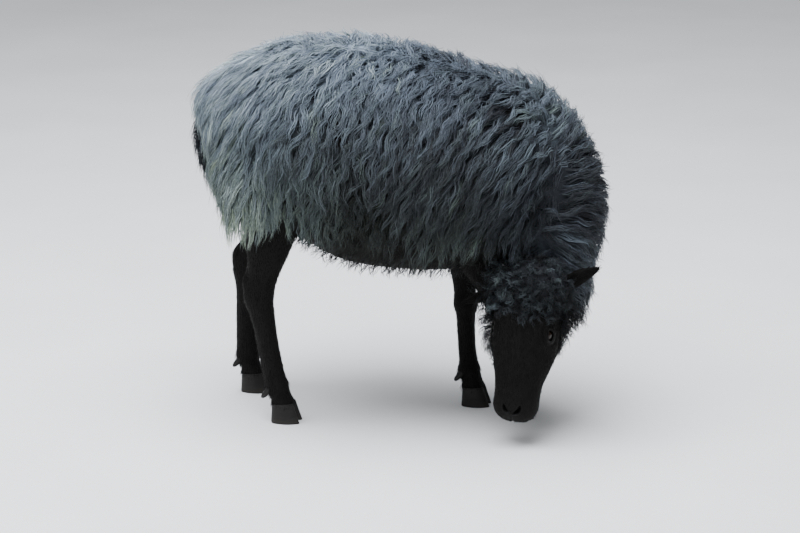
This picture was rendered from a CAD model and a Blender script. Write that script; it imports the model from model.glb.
"""The looks of a life-size grazing ewe of a small long-woolled landrace breed.

Metres, +Z up, in the frame of the solids. She faces +X with her right side towards -Y, and her head is down
and turned to her right. One skin runs over her whole body; the wool and the short hair are meshes of fine
tapered strands rooted in it.
"""

import functools
import math
from collections import namedtuple

import bmesh
import bpy
import numpy as np
from mathutils import Matrix, Vector
from mathutils.bvhtree import BVHTree


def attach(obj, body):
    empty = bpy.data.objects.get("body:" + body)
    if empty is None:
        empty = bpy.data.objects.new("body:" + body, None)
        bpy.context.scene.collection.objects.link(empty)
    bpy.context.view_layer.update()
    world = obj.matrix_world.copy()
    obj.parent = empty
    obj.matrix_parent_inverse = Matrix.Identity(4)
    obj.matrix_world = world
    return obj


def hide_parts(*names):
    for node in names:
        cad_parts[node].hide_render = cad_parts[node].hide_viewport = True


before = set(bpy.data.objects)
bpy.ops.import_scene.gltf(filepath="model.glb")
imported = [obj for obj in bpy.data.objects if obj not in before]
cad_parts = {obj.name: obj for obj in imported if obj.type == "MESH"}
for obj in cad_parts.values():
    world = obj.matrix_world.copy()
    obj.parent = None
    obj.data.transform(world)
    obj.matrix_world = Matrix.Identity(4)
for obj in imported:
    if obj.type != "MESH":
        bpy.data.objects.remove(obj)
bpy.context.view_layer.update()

bl_info = {
    "name": "Grazing landrace ewe",
    "version": (1, 0, 0),
    "blender": (4, 5, 0),
    "location": "3D View > Sidebar > Ewe",
    "description": "A life-size grazing ewe with a long grey fleece, on a pale studio floor",
    "category": "Add Mesh",
}

BODY = "root"

# Centre and half sizes over the tips of the fleece: x, y, z, wide, high
TRUNK = (
    (-0.360, 0.0, 0.570, 0.020, 0.020),
    (-0.352, 0.0, 0.566, 0.060, 0.040),
    (-0.330, 0.0, 0.553, 0.105, 0.070),
    (-0.295, 0.0, 0.534, 0.150, 0.111),
    (-0.240, 0.0, 0.519, 0.180, 0.152),
    (-0.175, 0.0, 0.505, 0.200, 0.184),
    (-0.095, 0.0, 0.486, 0.208, 0.208),
    (0.000, 0.0, 0.475, 0.210, 0.209),
    (0.090, 0.0, 0.465, 0.202, 0.197),
    (0.170, 0.0, 0.460, 0.184, 0.180),
    (0.235, 0.0, 0.468, 0.148, 0.158),
    (0.282, 0.0, 0.480, 0.085, 0.096),
    (0.296, 0.0, 0.482, 0.030, 0.034),
)
NECK = (
    (0.080, 0.000, 0.500, 0.125, 0.125),
    (0.178, 0.008, 0.472, 0.148, 0.158),
    (0.244, 0.014, 0.404, 0.132, 0.136),
    (0.264, 0.008, 0.328, 0.112, 0.106),
    (0.264, -0.008, 0.268, 0.092, 0.080),
    (0.266, -0.018, 0.232, 0.050, 0.046),
)
RUFF_CENTRE = (0.264, -0.036, 0.264)
RUFF_RADII = (0.095, 0.083, 0.096)
THIGHS = (
    (
        (-0.215, -0.085, 0.560, 0.060, 0.085),
        (-0.232, -0.105, 0.480, 0.085, 0.092),
        (-0.234, -0.112, 0.424, 0.078, 0.080),
        (-0.240, -0.110, 0.388, 0.058, 0.062),
        (-0.244, -0.106, 0.368, 0.038, 0.042),
    ),
    (
        (-0.230, 0.085, 0.560, 0.060, 0.080),
        (-0.245, 0.101, 0.480, 0.085, 0.090),
        (-0.255, 0.105, 0.420, 0.076, 0.080),
        (-0.262, 0.101, 0.382, 0.056, 0.060),
        (-0.267, 0.097, 0.360, 0.038, 0.042),
    ),
)
SHOULDERS = (
    (
        (0.110, -0.100, 0.560, 0.050, 0.060),
        (0.130, -0.112, 0.460, 0.074, 0.084),
        (0.142, -0.098, 0.370, 0.064, 0.066),
        (0.150, -0.078, 0.312, 0.042, 0.044),
    ),
    (
        (0.100, 0.100, 0.560, 0.050, 0.060),
        (0.105, 0.112, 0.460, 0.074, 0.088),
        (0.105, 0.100, 0.370, 0.066, 0.074),
        (0.105, 0.084, 0.290, 0.044, 0.048),
    ),
)
TAIL = (
    (-0.306, 0.0, 0.556, 0.020, 0.016),
    (-0.338, 0.0, 0.549, 0.022, 0.016),
    (-0.354, 0.0, 0.514, 0.020, 0.014),
    (-0.354, 0.0, 0.474, 0.015, 0.011),
    (-0.351, 0.0, 0.450, 0.006, 0.005),
)

# Each leg's path down to the fetlock, and the middle of its foot
Leg = namedtuple("Leg", "name path foot outer")
FORELEGS = (
    Leg(
        "fore_right",
        ((0.138, -0.085, 0.400), (0.149, -0.066, 0.325), (0.184, -0.004, 0.192), (0.205, 0.007, 0.068)),
        (0.219, 0.010),
        -1,
    ),
    Leg(
        "fore_left",
        ((0.100, 0.095, 0.400), (0.100, 0.085, 0.325), (0.108, 0.070, 0.188), (0.117, 0.063, 0.068)),
        (0.131, 0.062),
        1,
    ),
)
HINDLEGS = (
    Leg(
        "hind_right",
        ((-0.200, -0.100, 0.420), (-0.216, -0.104, 0.330), (-0.236, -0.101, 0.234), (-0.207, -0.094, 0.068)),
        (-0.190, -0.090),
        -1,
    ),
    Leg(
        "hind_left",
        ((-0.235, 0.095, 0.420), (-0.258, 0.094, 0.330), (-0.299, 0.082, 0.236), (-0.300, 0.075, 0.068)),
        (-0.284, 0.073),
        1,
    ),
)

# Sizes along a leg: which stretch of its path, how far along it, half width and half depth fore and aft
FORELEG_SIZES = (
    (0, 0.00, 0.034, 0.048),
    (1, 0.00, 0.031, 0.041),
    (1, 0.45, 0.0225, 0.0275),
    (1, 0.80, 0.0175, 0.0200),
    (2, 0.00, 0.0195, 0.0215),
    (2, 0.22, 0.0150, 0.0165),
    (2, 0.60, 0.0125, 0.0142),
    (2, 0.86, 0.0140, 0.0165),
    (3, 0.00, 0.0190, 0.0205),
    (3, 0.50, 0.0185, 0.0180),
    (3, 1.00, 0.0218, 0.0200),
)
HINDLEG_SIZES = (
    (0, 0.00, 0.042, 0.060),
    (1, 0.00, 0.030, 0.040),
    (1, 0.62, 0.0200, 0.0270),
    (2, 0.00, 0.0210, 0.0275),
    (2, 0.18, 0.0180, 0.0225),
    (2, 0.50, 0.0145, 0.0185),
    (2, 0.86, 0.0150, 0.0185),
    (3, 0.00, 0.0190, 0.0220),
    (3, 0.50, 0.0185, 0.0180),
    (3, 1.00, 0.0218, 0.0200),
)

# How far a leg's tendons lie behind its bones, where along them and how thick they are, and the half sizes of
# the bulbs of the heel, the fetlock and the knee
TENDON_BEHIND_FORE = 0.011
TENDON_BEHIND_HIND = 0.014
TENDON_SHARES = (0.12, 0.35, 0.65, 0.92)
TENDON_RADII = (0.0075, 0.0070)
HEEL_BULB_RADII = (0.013, 0.0095, 0.011)
FETLOCK_RADII = (0.0135, 0.0115, 0.0150)
KNEE_RADII = (0.0165, 0.0185, 0.022)

# The feet: the claws, the gap between them, the rounding of their lower edge and the ridges round them
CORONET_HEIGHT = 0.034
CLAW_LENGTH = 0.052
CLAW_WIDTH = 0.0205
CLEFT_WIDTH = 0.004
CLAW_SIDES = 48
CLAW_EDGE = 0.0012
CLAW_EDGE_HEIGHT = 0.0018
RIDGE_DEPTH = 0.00028

# Radians of the ridges' wave to a metre of height, which puts them 3.3 mm apart
RIDGE_RATE = 1900

# The head: its poll and nose bridge on the front line, and along the face from the poll to the lips the half
# width and how deep the front and the throat side lie
POLL = Vector((0.2440, -0.150, 0.3080))
NOSE = Vector((0.2265, -0.184, 0.0855))
FOREHEAD_TURN_DEG = -8.0
FACE = (
    (-0.014, 0.030, -0.034, -0.080),
    (0.000, 0.044, -0.014, -0.100),
    (0.045, 0.053, 0.000, -0.122),
    (0.098, 0.055, 0.001, -0.128),
    (0.135, 0.054, -0.002, -0.112),
    (0.165, 0.049, -0.004, -0.094),
    (0.190, 0.0440, -0.005, -0.082),
    (0.214, 0.0400, -0.005, -0.077),
    (0.234, 0.0385, -0.006, -0.072),
    (0.250, 0.031, -0.014, -0.064),
    (0.259, 0.018, -0.026, -0.052),
)

# Raised and hollow places of the face, alike on both sides: where they are down the face, across it and off
# its front line, how far they reach, and how far they stand out sideways and forwards
FACE_FORMS = (
    ((0.094, 0.050, -0.022), (0.026, 0.020, 0.024), (0.0070, 0.0045)),
    ((0.128, 0.045, -0.018), (0.014, 0.014, 0.012), (-0.0030, -0.0015)),
    ((0.120, 0.050, -0.075), (0.030, 0.020, 0.030), (0.0040, 0.0)),
    ((0.190, 0.040, -0.040), (0.024, 0.020, 0.022), (-0.0030, 0.0)),
    ((0.236, 0.024, -0.020), (0.016, 0.016, 0.020), (0.0020, 0.0010)),
    ((0.150, 0.000, 0.000), (0.060, 0.012, 0.020), (0.0, 0.0030)),
    ((0.118, 0.054, -0.044), (0.034, 0.016, 0.008), (0.0022, 0.0)),
    ((0.242, 0.022, -0.058), (0.014, 0.014, 0.008), (0.0018, 0.0)),
)

# The eyes: the ball, its middle in the face's frame, how far it looks forwards and its slit is turned, the
# opening's half length, depth and half height, the lids, and the room round the ball
EYE_RADIUS = 0.0125
EYE_DOWN_FACE = 0.099
EYE_SIDE = 0.0405
EYE_DEPTH = 0.0250
EYE_FORWARD_DEG = 24.0
EYE_TURN_DEG = 22.0
EYE_OPENING = (0.0108, 0.0110, 0.0068)
LID_RADII = (0.0165, 0.0142, 0.0142)
EYE_CLEARANCE = 0.0002

# The nostrils, the line of the mouth down and across the face, and the felted wool of the poll
NOSTRIL_DOWN_FACE = 0.236
NOSTRIL_SIDE = 0.0115
NOSTRIL_DEPTH = -0.008
NOSTRIL_RADII = (0.0088, 0.0027)
NOSTRIL_TURN_DEG = 38.0
NOSTRIL_BOW = 0.0026
MOUTH_LINE = ((0.203, 0.040), (0.226, 0.038), (0.243, 0.030), (0.255, 0.014), (0.2585, 0.000))
MOUTH_DEPTH = -0.043
TOPKNOT_CENTRE = (0.022, 0.004, -0.044)
TOPKNOT_RADII = (0.048, 0.065, 0.042)

# Root and tip of each ear and the way it opens, in the face's frame; positive across is her left
EARS = (
    ((0.020, 0.048, -0.044), (-0.026, 0.117, -0.046), (0.55, 0.25, 0.75)),
    ((0.040, -0.046, -0.040), (0.066, -0.114, -0.030), (0.75, -0.15, 0.62)),
)
EAR_HALF_WIDTH = 0.019
EAR_CUP_DEPTH = 0.010
EAR_WALL = 0.0034

# A line inside the body: a place, the way from there to the parting of the wool, and how much the wool sweeps
# back and hangs straight down instead of lying away from the parting
FLEECE_LINE = (
    (-0.335, 0.000, 0.545, -0.3, 0.0, 1.0, 0.60, 0.9),
    (-0.235, 0.000, 0.512, -0.1, 0.0, 1.0, 0.50, 0.4),
    (-0.120, 0.000, 0.484, 0.0, 0.0, 1.0, 0.28, 0.2),
    (0.000, 0.000, 0.474, 0.0, 0.0, 1.0, 0.20, 0.2),
    (0.100, 0.000, 0.466, 0.0, 0.0, 1.0, 0.50, 0.2),
    (0.175, 0.006, 0.450, 0.1, -0.3, 1.0, 0.50, 0.2),
    (0.235, 0.012, 0.396, 0.1, -1.0, 0.5, 0.10, 0.30),
    (0.262, 0.006, 0.330, -0.1, -1.0, 0.2, 0.0, 0.40),
    (0.264, -0.020, 0.262, 0.0, -1.0, 0.0, 0.0, 0.90),
)

# Where the neck begins, below which height wool hangs more and how much more, and how steeply the skin faces
# down where the long wool ends, on the body and on the neck
NECK_BASE_X = 0.205
LOW_WOOL_Z = 0.430
LOW_WOOL_HANG = 9.0
UNDERSIDE = -0.40
NECK_UNDERSIDE = -0.90

# The kinds of wool over the body, each round a place seen from the side: how far it reaches, the length of
# its locks, how far they wave and curl, how far their strands run together, how far neighbouring locks do,
# how much their direction strays, how pale the wool is, from 0 black to 1 silver, and how warm
Coat = namedtuple("Coat", "x z reach_x reach_z length wave curl clump gather stray pale warm")
COATS = (
    Coat(-0.30, 0.62, 0.16, 0.07, 0.078, 0.0018, 0.0, 0.32, 0.05, 0.12, 0.74, 0.05),
    Coat(-0.30, 0.48, 0.12, 0.10, 0.085, 0.0030, 0.0, 0.55, 0.30, 0.18, 0.68, 0.70),
    Coat(-0.27, 0.39, 0.11, 0.07, 0.090, 0.0028, 0.0, 0.78, 0.65, 0.10, 0.88, 0.85),
    Coat(-0.10, 0.67, 0.13, 0.050, 0.074, 0.0034, 0.0, 0.38, 0.10, 0.22, 0.71, 0.05),
    Coat(-0.10, 0.55, 0.12, 0.07, 0.082, 0.0050, 0.0, 0.62, 0.30, 0.42, 0.37, 0.42),
    Coat(-0.12, 0.45, 0.06, 0.06, 0.080, 0.0050, 0.0010, 0.66, 0.38, 0.42, 0.37, 0.85),
    Coat(-0.04, 0.41, 0.05, 0.07, 0.062, 0.0048, 0.0028, 0.62, 0.30, 0.55, 0.14, 1.00),
    Coat(-0.165, 0.345, 0.035, 0.050, 0.034, 0.0034, 0.0012, 0.50, 0.20, 0.40, -0.05, 0.60),
    Coat(-0.06, 0.31, 0.13, 0.05, 0.052, 0.0040, 0.0034, 0.60, 0.30, 0.55, -0.06, 0.80),
    Coat(0.09, 0.64, 0.10, 0.07, 0.078, 0.0038, 0.0, 0.52, 0.20, 0.24, 0.43, 0.0),
    Coat(0.10, 0.50, 0.09, 0.08, 0.088, 0.0046, 0.0, 0.74, 0.45, 0.22, 0.27, 0.50),
    Coat(0.10, 0.37, 0.09, 0.07, 0.086, 0.0044, 0.0, 0.78, 0.55, 0.20, 0.33, 1.00),
    Coat(0.25, 0.56, 0.07, 0.06, 0.070, 0.0030, 0.0, 0.56, 0.20, 0.24, 0.44, 0.30),
    Coat(0.28, 0.43, 0.07, 0.08, 0.075, 0.0036, 0.0, 0.66, 0.30, 0.26, 0.25, 0.20),
    Coat(0.27, 0.32, 0.09, 0.05, 0.060, 0.0032, 0.0006, 0.62, 0.30, 0.28, 0.46, 0.15),
    Coat(0.30, 0.21, 0.09, 0.05, 0.042, 0.0036, 0.0022, 0.40, 0.15, 0.45, 0.08, 0.50),
)

# How pale the wool is on the belly, on the tail and where it is felted between the curls of the poll
BELLY_PALE = 0.0
TAIL_PALE = 0.14
POLL_FELT_PALE = 0.12

# The camera: where it looks from, what it looks at and its lens
CAMERA_AZIMUTH_DEG = 10.0
CAMERA_ELEVATION_DEG = 15.5
CAMERA_DISTANCE = 4.6
CAMERA_TARGET = Vector((0.0, 0.0, 0.272))
CAMERA_LENS_MM = 115.92
SENSOR_MM = 36.0

# How large each tuft's patch is on the unwrapped skin
PATCH = 0.003
UV_NAME = "OFBake"

# How thin a form may get, how far the belly's skin lies above the tips of its wool, and for each form the
# grid of its even skin and the rounds that smooth it
THIN_CORE = 0.006
BELLY_INSET = 0.010
FLEECE_SKIN = (0.0065, 8)
LEG_SKIN = (0.0023, 6)
TAIL_SKIN = (0.0025, 3)
HEAD_SKIN = (0.00125, 7)

# How much thinner the dock of the tail is than the tail with its wool
DOCK_SHARE = 0.6

# How many places are tried for each square of the spacing between roots
SAMPLES_PER_CELL = 5.0


def linear(hex_colour):
    """The linear colour of an sRGB hex value."""
    parts = [int(hex_colour[i : i + 2], 16) / 255 for i in (0, 2, 4)]
    return tuple(part / 12.92 if part <= 0.04045 else ((part + 0.055) / 1.055) ** 2.4 for part in parts)


def length_setting(name, description, default):
    """A size in metres that a user may change."""
    return bpy.props.FloatProperty(
        name=name, description=description, default=default, min=0.0, subtype="DISTANCE", unit="LENGTH"
    )


def power_setting(name, description, default):
    """The power of a light that a user may change."""
    return bpy.props.FloatProperty(
        name=name, description=description, default=default, min=0.0, unit="POWER"
    )


def colour_setting(name, description, hex_colour):
    """A colour that a user may change."""
    return bpy.props.FloatVectorProperty(
        name=name,
        description=description,
        default=linear(hex_colour),
        size=3,
        min=0.0,
        max=1.0,
        subtype="COLOR",
    )


class WoolSettings(bpy.types.PropertyGroup):
    """The sizes and colours of the long wool."""

    lift: length_setting("Depth", "How far the tips stand off the felted wool at the skin", 0.021)
    lock_spacing: length_setting("Lock spacing", "Distance from one lock to the next", 0.0097)
    lock_width: length_setting("Lock width", "Width of a lock at its root", 0.016)
    strand_width: length_setting("Strand width", "Width of a strand at its thickest", 0.0018)
    seed: bpy.props.IntProperty(name="Seed", description="Chance by which the locks differ", default=4, min=0)
    black: colour_setting("Black wool", "The darkest wool, on the belly", "0B0A0A")
    charcoal: colour_setting("Charcoal wool", "Wool of the neck and low on the flank", "2E3137")
    grey: colour_setting("Grey wool", "Wool of the back", "646E79")
    silver: colour_setting("Silver wool", "The palest wool, on the rump and thighs", "AEBABE")
    brown: colour_setting("Weathered wool", "The warm tone of weathered wool", "94987A")


class HairSettings(bpy.types.PropertyGroup):
    """The sizes and colours of the short hair on the face, ears and legs."""

    leg_length: length_setting("Leg hair", "Length of the hair on the legs", 0.009)
    face_length: length_setting("Face hair", "Length of the hair on the face", 0.0075)
    width: length_setting("Tuft width", "Width of a tuft of short hair", 0.0014)
    seed: bpy.props.IntProperty(name="Seed", description="Chance by which the tufts differ", default=9, min=0)
    black: colour_setting("Black hair", "The short hair of the face and legs", "0B0A0A")
    brown: colour_setting("Brown gloss", "The sun-faded tips of the short hair", "161311")
    skin: colour_setting("Bare skin", "The skin of the nose, lips and lids", "0B0A0A")


class EyeSettings(bpy.types.PropertyGroup):
    """The colours of the eyes."""

    iris: colour_setting("Iris", "The brown of the iris", "22150B")
    rim: colour_setting("Rim", "The dark ring round the iris", "0D0805")
    pupil_width: bpy.props.FloatProperty(
        name="Pupil width", description="Half length of the level pupil, as a share of the ball", default=0.46
    )


class HoofSettings(bpy.types.PropertyGroup):
    """The colours of the hooves."""

    horn: colour_setting("Horn", "The wall of the hooves", "131110")
    worn: colour_setting("Worn edge", "The scuffed, dusty edge of the horn", "2B2722")


class StageSettings(bpy.types.PropertyGroup):
    """The floor and the studio light."""

    floor: colour_setting("Floor", "The pale floor", "D9D8D4")
    air: colour_setting("Surrounding light", "The soft light from all round", "DDE4EE")
    top_power: power_setting("Top light", "Power of the large light overhead", 560.0)
    side_power: power_setting("Side light", "Power of the light beside the camera", 25.0)


def unit(vectors):
    """The vectors scaled to length one."""
    vectors = np.asarray(vectors, float)
    return vectors / np.maximum(np.linalg.norm(vectors, axis=-1, keepdims=True), 1e-12)


def dot(first, second):
    """The product of each pair of vectors, as a column."""
    return (first * second).sum(axis=-1, keepdims=True)


def ramp(values, low, high):
    """A smooth step from 0 at low to 1 at high."""
    share = np.clip((np.asarray(values, float) - low) / (high - low), 0.0, 1.0)
    return share * share * (3 - 2 * share)


def swell(distances, size, width):
    """A rounded swelling of a size and width, at distances from its middle."""
    return size * np.exp(-((distances / width) ** 2))


def smoothed(rows, steps):
    """Rows along a smooth curve through the given ones, with steps of them to each next one."""
    rows = np.asarray(rows, float)
    count = len(rows) - 1
    padded = np.vstack((rows[:1], rows, rows[-1:]))
    a, b, c, d = (padded[i : i + count, None] for i in range(4))
    t = (np.arange(steps) / steps)[None, :, None]
    curve = 0.5 * (2 * b + (c - a) * t + (2 * a - 5 * b + 4 * c - d) * t**2 + (3 * b - a - 3 * c + d) * t**3)
    return np.vstack((curve.reshape(-1, rows.shape[1]), rows[-1:]))


def tube(points):
    """Points and faces of a closed tube through loops of points."""
    count, sides = points.shape[:2]
    around = np.arange(sides)
    after = np.roll(around, -1)
    start = (np.arange(count - 1) * sides)[:, None]
    quads = np.stack((start + around, start + after, start + after + sides, start + around + sides), axis=2)
    ends = [list(range(sides)), list(range((count - 1) * sides, count * sides))]
    return points.reshape(-1, 3), quads.reshape(-1, 4).tolist() + ends


def loft(rings, sides, across=(0, 1, 0), facing=None, taper=0.0):
    """A closed body through rings of x, y, z, wide and high. Wide lies along across, high square to it and to
    the path or the way that all rings face, and taper widens each ring towards its high side."""
    rings = np.asarray(rings, float)
    along = np.gradient(rings[:, :3], axis=0) if facing is None else np.tile(facing, (len(rings), 1))
    along = unit(along)
    wide_axes = []
    wide = np.array(across, float)
    for way in along:
        wide = unit(wide - way * (wide @ way))
        wide_axes.append(wide)
    wide_axes = np.array(wide_axes)
    high_axes = np.cross(along, wide_axes)
    angle = math.tau * (np.arange(sides) + 0.5) / sides
    across_by = rings[:, 3:4] * np.cos(angle) * (1 + taper * np.sin(angle))
    up_by = rings[:, 4:5] * np.sin(angle)
    offsets = wide_axes[:, None] * across_by[..., None] + high_axes[:, None] * up_by[..., None]
    return tube(rings[:, None, :3] + offsets)


def ball(centre, radii, sides=32, loops=22):
    """A closed ellipsoid in loops round its first axis."""
    turn = np.linspace(0.04, math.pi - 0.04, loops)[:, None]
    angle = (math.tau * np.arange(sides) / sides)[None, :]
    ways = np.stack(
        (np.cos(turn) + 0 * angle, np.sin(turn) * np.cos(angle), np.sin(turn) * np.sin(angle)), axis=2
    )
    return tube(np.array(centre) + ways * np.array(radii))


def moved(points, place):
    """The points carried by a 4 x 4 matrix."""
    place = np.array(place)
    return points @ place[:3, :3].T + place[:3, 3]


def carried(form, place):
    """A form's points and faces carried by a 4 x 4 matrix."""
    points, faces = form
    return moved(points, place), faces


def placed(name, data):
    """A new object of the scene."""
    obj = bpy.data.objects.new(name, data)
    bpy.context.scene.collection.objects.link(obj)
    return obj


def object_of(name, forms):
    """One object of several closed forms, with their faces pointing out."""
    points = np.vstack([form[0] for form in forms])
    faces = []
    start = 0
    for form_points, form_faces in forms:
        faces += [[start + corner for corner in face] for face in form_faces]
        start += len(form_points)
    data = bpy.data.meshes.new(name)
    data.from_pydata(points.tolist(), [], faces)
    mesh = bmesh.new()
    mesh.from_mesh(data)
    bmesh.ops.recalc_face_normals(mesh, faces=mesh.faces)
    mesh.to_mesh(data)
    mesh.free()
    return placed(name, data)


def apply_modifiers(obj):
    """Gives obj the mesh that its modifiers make, and removes them."""
    bpy.context.view_layer.update()
    graph = bpy.context.evaluated_depsgraph_get()
    done = bpy.data.meshes.new_from_object(obj.evaluated_get(graph))
    obj.modifiers.clear()
    obj.data = done


def remeshed(obj, voxel, rounds):
    """Gives obj one even skin over all its forms, and smooths it."""
    remesh = obj.modifiers.new("Even skin", "REMESH")
    remesh.mode = "VOXEL"
    remesh.voxel_size = voxel
    smooth = obj.modifiers.new("Smooth", "SMOOTH")
    smooth.factor = 0.5
    smooth.iterations = rounds
    apply_modifiers(obj)
    return obj


def combine(obj, others, operation):
    """Joins the others to obj, or cuts them from it, by one Boolean, and removes them."""
    group = bpy.data.collections.new("pieces")
    for other in others:
        group.objects.link(other)
    modifier = obj.modifiers.new(operation.title(), "BOOLEAN")
    modifier.operation = operation
    modifier.operand_type = "COLLECTION"
    modifier.collection = group
    modifier.solver = "MANIFOLD"
    apply_modifiers(obj)
    for other in others:
        bpy.data.objects.remove(other)
    bpy.data.collections.remove(group)
    return obj


def read_points(collection, field):
    """A field of three numbers of every item, as rows."""
    values = np.empty(len(collection) * 3, np.float32)
    collection.foreach_get(field, values)
    return values.reshape(-1, 3).astype(float)


class Form:
    """A finished surface: its points, the way each faces, its faces and a tree of its nearest points."""

    def __init__(self, obj):
        self.points = read_points(obj.data.vertices, "co")
        self.normals = unit(read_points(obj.data.vertices, "normal"))
        self.faces = [tuple(face.vertices) for face in obj.data.polygons]
        self.tree = BVHTree.FromPolygons(self.points.tolist(), self.faces)
        bpy.data.objects.remove(obj)

    def as_object(self, name):
        """A new object with this surface."""
        data = bpy.data.meshes.new(name)
        data.from_pydata(self.points.tolist(), [], self.faces)
        return placed(name, data)

    def sampled(self, spacing, chance):
        """Places spread evenly by chance over the whole surface, and the way it faces at each."""
        triangles = np.array([face for face in self.faces if len(face) == 3]).reshape(-1, 3)
        quads = np.array([face for face in self.faces if len(face) == 4]).reshape(-1, 4)
        triangles = np.vstack((triangles, quads[:, :3], quads[:, [0, 2, 3]])).astype(int)
        corners = self.points[triangles]
        square = np.cross(corners[:, 1] - corners[:, 0], corners[:, 2] - corners[:, 0])
        area = np.linalg.norm(square, axis=1) / 2
        count = int(SAMPLES_PER_CELL * area.sum() / spacing**2)
        picked = triangles[chance.choice(len(triangles), count, p=area / area.sum())]
        shares = chance.dirichlet((1, 1, 1), count)[..., None]
        return (self.points[picked] * shares).sum(axis=1), unit((self.normals[picked] * shares).sum(axis=1))

    def nearest(self, places):
        """The nearest point of the surface to each place, and the way it faces."""
        found = [self.tree.find_nearest(place) for place in places.tolist()]
        return np.array([spot[0] for spot in found]), np.array([spot[1] for spot in found])

    def height(self, places):
        """How far each place is off the surface, negative inside it."""
        spots, normals = self.nearest(places)
        return dot(places - spots, normals)[:, 0]


def head_frame():
    """The face's own frame: X down the face from the poll, Y to her left, Z out of the forehead."""
    along = (NOSE - POLL).normalized()
    turn = math.radians(FOREHEAD_TURN_DEG)
    facing = Vector((math.sin(turn), -math.cos(turn), 0.0))
    facing = (facing - along * facing.dot(along)).normalized()
    left = facing.cross(along)
    return Matrix.Translation(POLL) @ Matrix((along, left, facing)).transposed().to_4x4()


HEAD = head_frame()
DOWN_FACE, ACROSS_FACE, OUT_OF_FACE = np.array(HEAD)[:3, :3].T


def turned(place, angle_deg, axis):
    """The frame at a place on the face, turned there about one of its axes."""
    return HEAD @ Matrix.Translation(place) @ Matrix.Rotation(math.radians(angle_deg), 4, axis)


def eye_frame(side):
    """The frame of one eye: Y through the middle of the ball, X down the opening between the lids."""
    looking = turned((EYE_DOWN_FACE, side * EYE_SIDE, -EYE_DEPTH), side * EYE_FORWARD_DEG, "X")
    return looking @ Matrix.Rotation(math.radians(EYE_TURN_DEG), 4, "Y")


def leg_points(leg, sizes):
    """Rings from inside the body down to the coronet, in fine steps."""
    coronet = (leg.foot[0] - 0.004, leg.foot[1], CORONET_HEIGHT - 0.004)
    path = np.array(leg.path + (coronet, coronet))
    rings = []
    for stretch, share, wide, high in sizes:
        place = path[stretch] * (1 - share) + path[stretch + 1] * share
        rings.append((*place, wide, high))
    return smoothed(rings, 5)


def leg_forms(leg, hind):
    """One leg: its main form, the tendons behind its bones and, on a hind leg, the point of the hock."""
    rings = leg_points(leg, HINDLEG_SIZES if hind else FORELEG_SIZES)
    knee, fetlock = np.array(leg.path[2]), np.array(leg.path[3])
    foot = np.array((leg.foot[0], leg.foot[1], CORONET_HEIGHT))
    back = TENDON_BEHIND_HIND if hind else TENDON_BEHIND_FORE
    tendon = [
        (*(knee + (fetlock - knee) * share - (back, 0, 0)), *TENDON_RADII) for share in TENDON_SHARES
    ]
    forms = [loft(rings, 40), loft(smoothed(tendon, 4), 16)]
    for side in (-1, 1):
        bulb = foot + (-0.014, side * 0.010, 0.004)
        forms.append(ball(bulb, HEEL_BULB_RADII, 20, 14))
        joint = fetlock + (-0.006, side * 0.006, -0.003)
        forms.append(ball(joint, FETLOCK_RADII, 20, 14))
    if hind:
        gaskin = np.array(leg.path[1])
        above = gaskin + (-0.024, 0.0, -0.004)
        point = knee + (-0.018, 0.0, 0.018)
        below = knee + (fetlock - knee) * 0.20 - (0.010, 0, 0)
        heel = [
            (*above, 0.012, 0.011),
            (*(above + (point - above) * 0.6), 0.0075, 0.0085),
            (*point, 0.0105, 0.0110),
            (*below, 0.0095, 0.0090),
        ]
        forms.append(loft(smoothed(heel, 5), 20))
    else:
        forms.append(ball(knee + (0.006, 0, -0.002), KNEE_RADII, 24, 16))
    return forms


@functools.cache
def fleece_form(inset):
    """The trunk, neck, shoulders and thighs under the wool, inset from its tips except below the belly."""
    felted = []
    for x, y, z, wide, high in TRUNK:
        wide = max(wide - inset, THIN_CORE)
        high = max(high - (inset + BELLY_INSET) / 2, THIN_CORE)
        felted.append((x, y, z - inset / 2 + BELLY_INSET / 2, wide, high))
    forms = [loft(smoothed(felted, 5), 64, facing=(1, 0, 0))]
    forms.append(loft(smoothed(inset_rings(NECK, inset), 6), 56))
    forms.append(ball(RUFF_CENTRE, [radius - inset for radius in RUFF_RADII]))
    for rings in THIGHS + SHOULDERS:
        forms.append(loft(smoothed(inset_rings(rings, inset), 6), 40))
    return Form(remeshed(object_of("fleece", forms), *FLEECE_SKIN))


def inset_rings(rings, inset):
    """The rings made smaller all round, down to a thin core."""
    return [
        (x, y, z, max(wide - inset, THIN_CORE), max(high - inset, THIN_CORE))
        for x, y, z, wide, high in rings
    ]


@functools.cache
def legs_form():
    """All four legs down to the coronets, with their joints and tendons."""
    forms = []
    for hind, legs in ((False, FORELEGS), (True, HINDLEGS)):
        for leg in legs:
            forms += leg_forms(leg, hind)
    return Form(remeshed(object_of("legs", forms), *LEG_SKIN))


@functools.cache
def tail_form():
    """The dock of the tail."""
    dock = [(x, y, z, wide * DOCK_SHARE, high * DOCK_SHARE) for x, y, z, wide, high in TAIL]
    return Form(remeshed(object_of("tail", [loft(smoothed(dock, 6), 24)]), *TAIL_SKIN))


def eye_shares(points, side):
    """How far points are from the middle of an eye's opening, where 1 is the edge of the lids, and how far
    above the slit they lie, and whether they are near the eye."""
    local = moved(points, eye_frame(side).inverted())
    share = np.hypot(local[:, 0] / EYE_OPENING[0], local[:, 2] / EYE_OPENING[2])
    near = np.exp(-((np.linalg.norm(local, axis=1) / 0.030) ** 4)) * (local[:, 1] * side > 0)
    return share, local[:, 2], near


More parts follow.
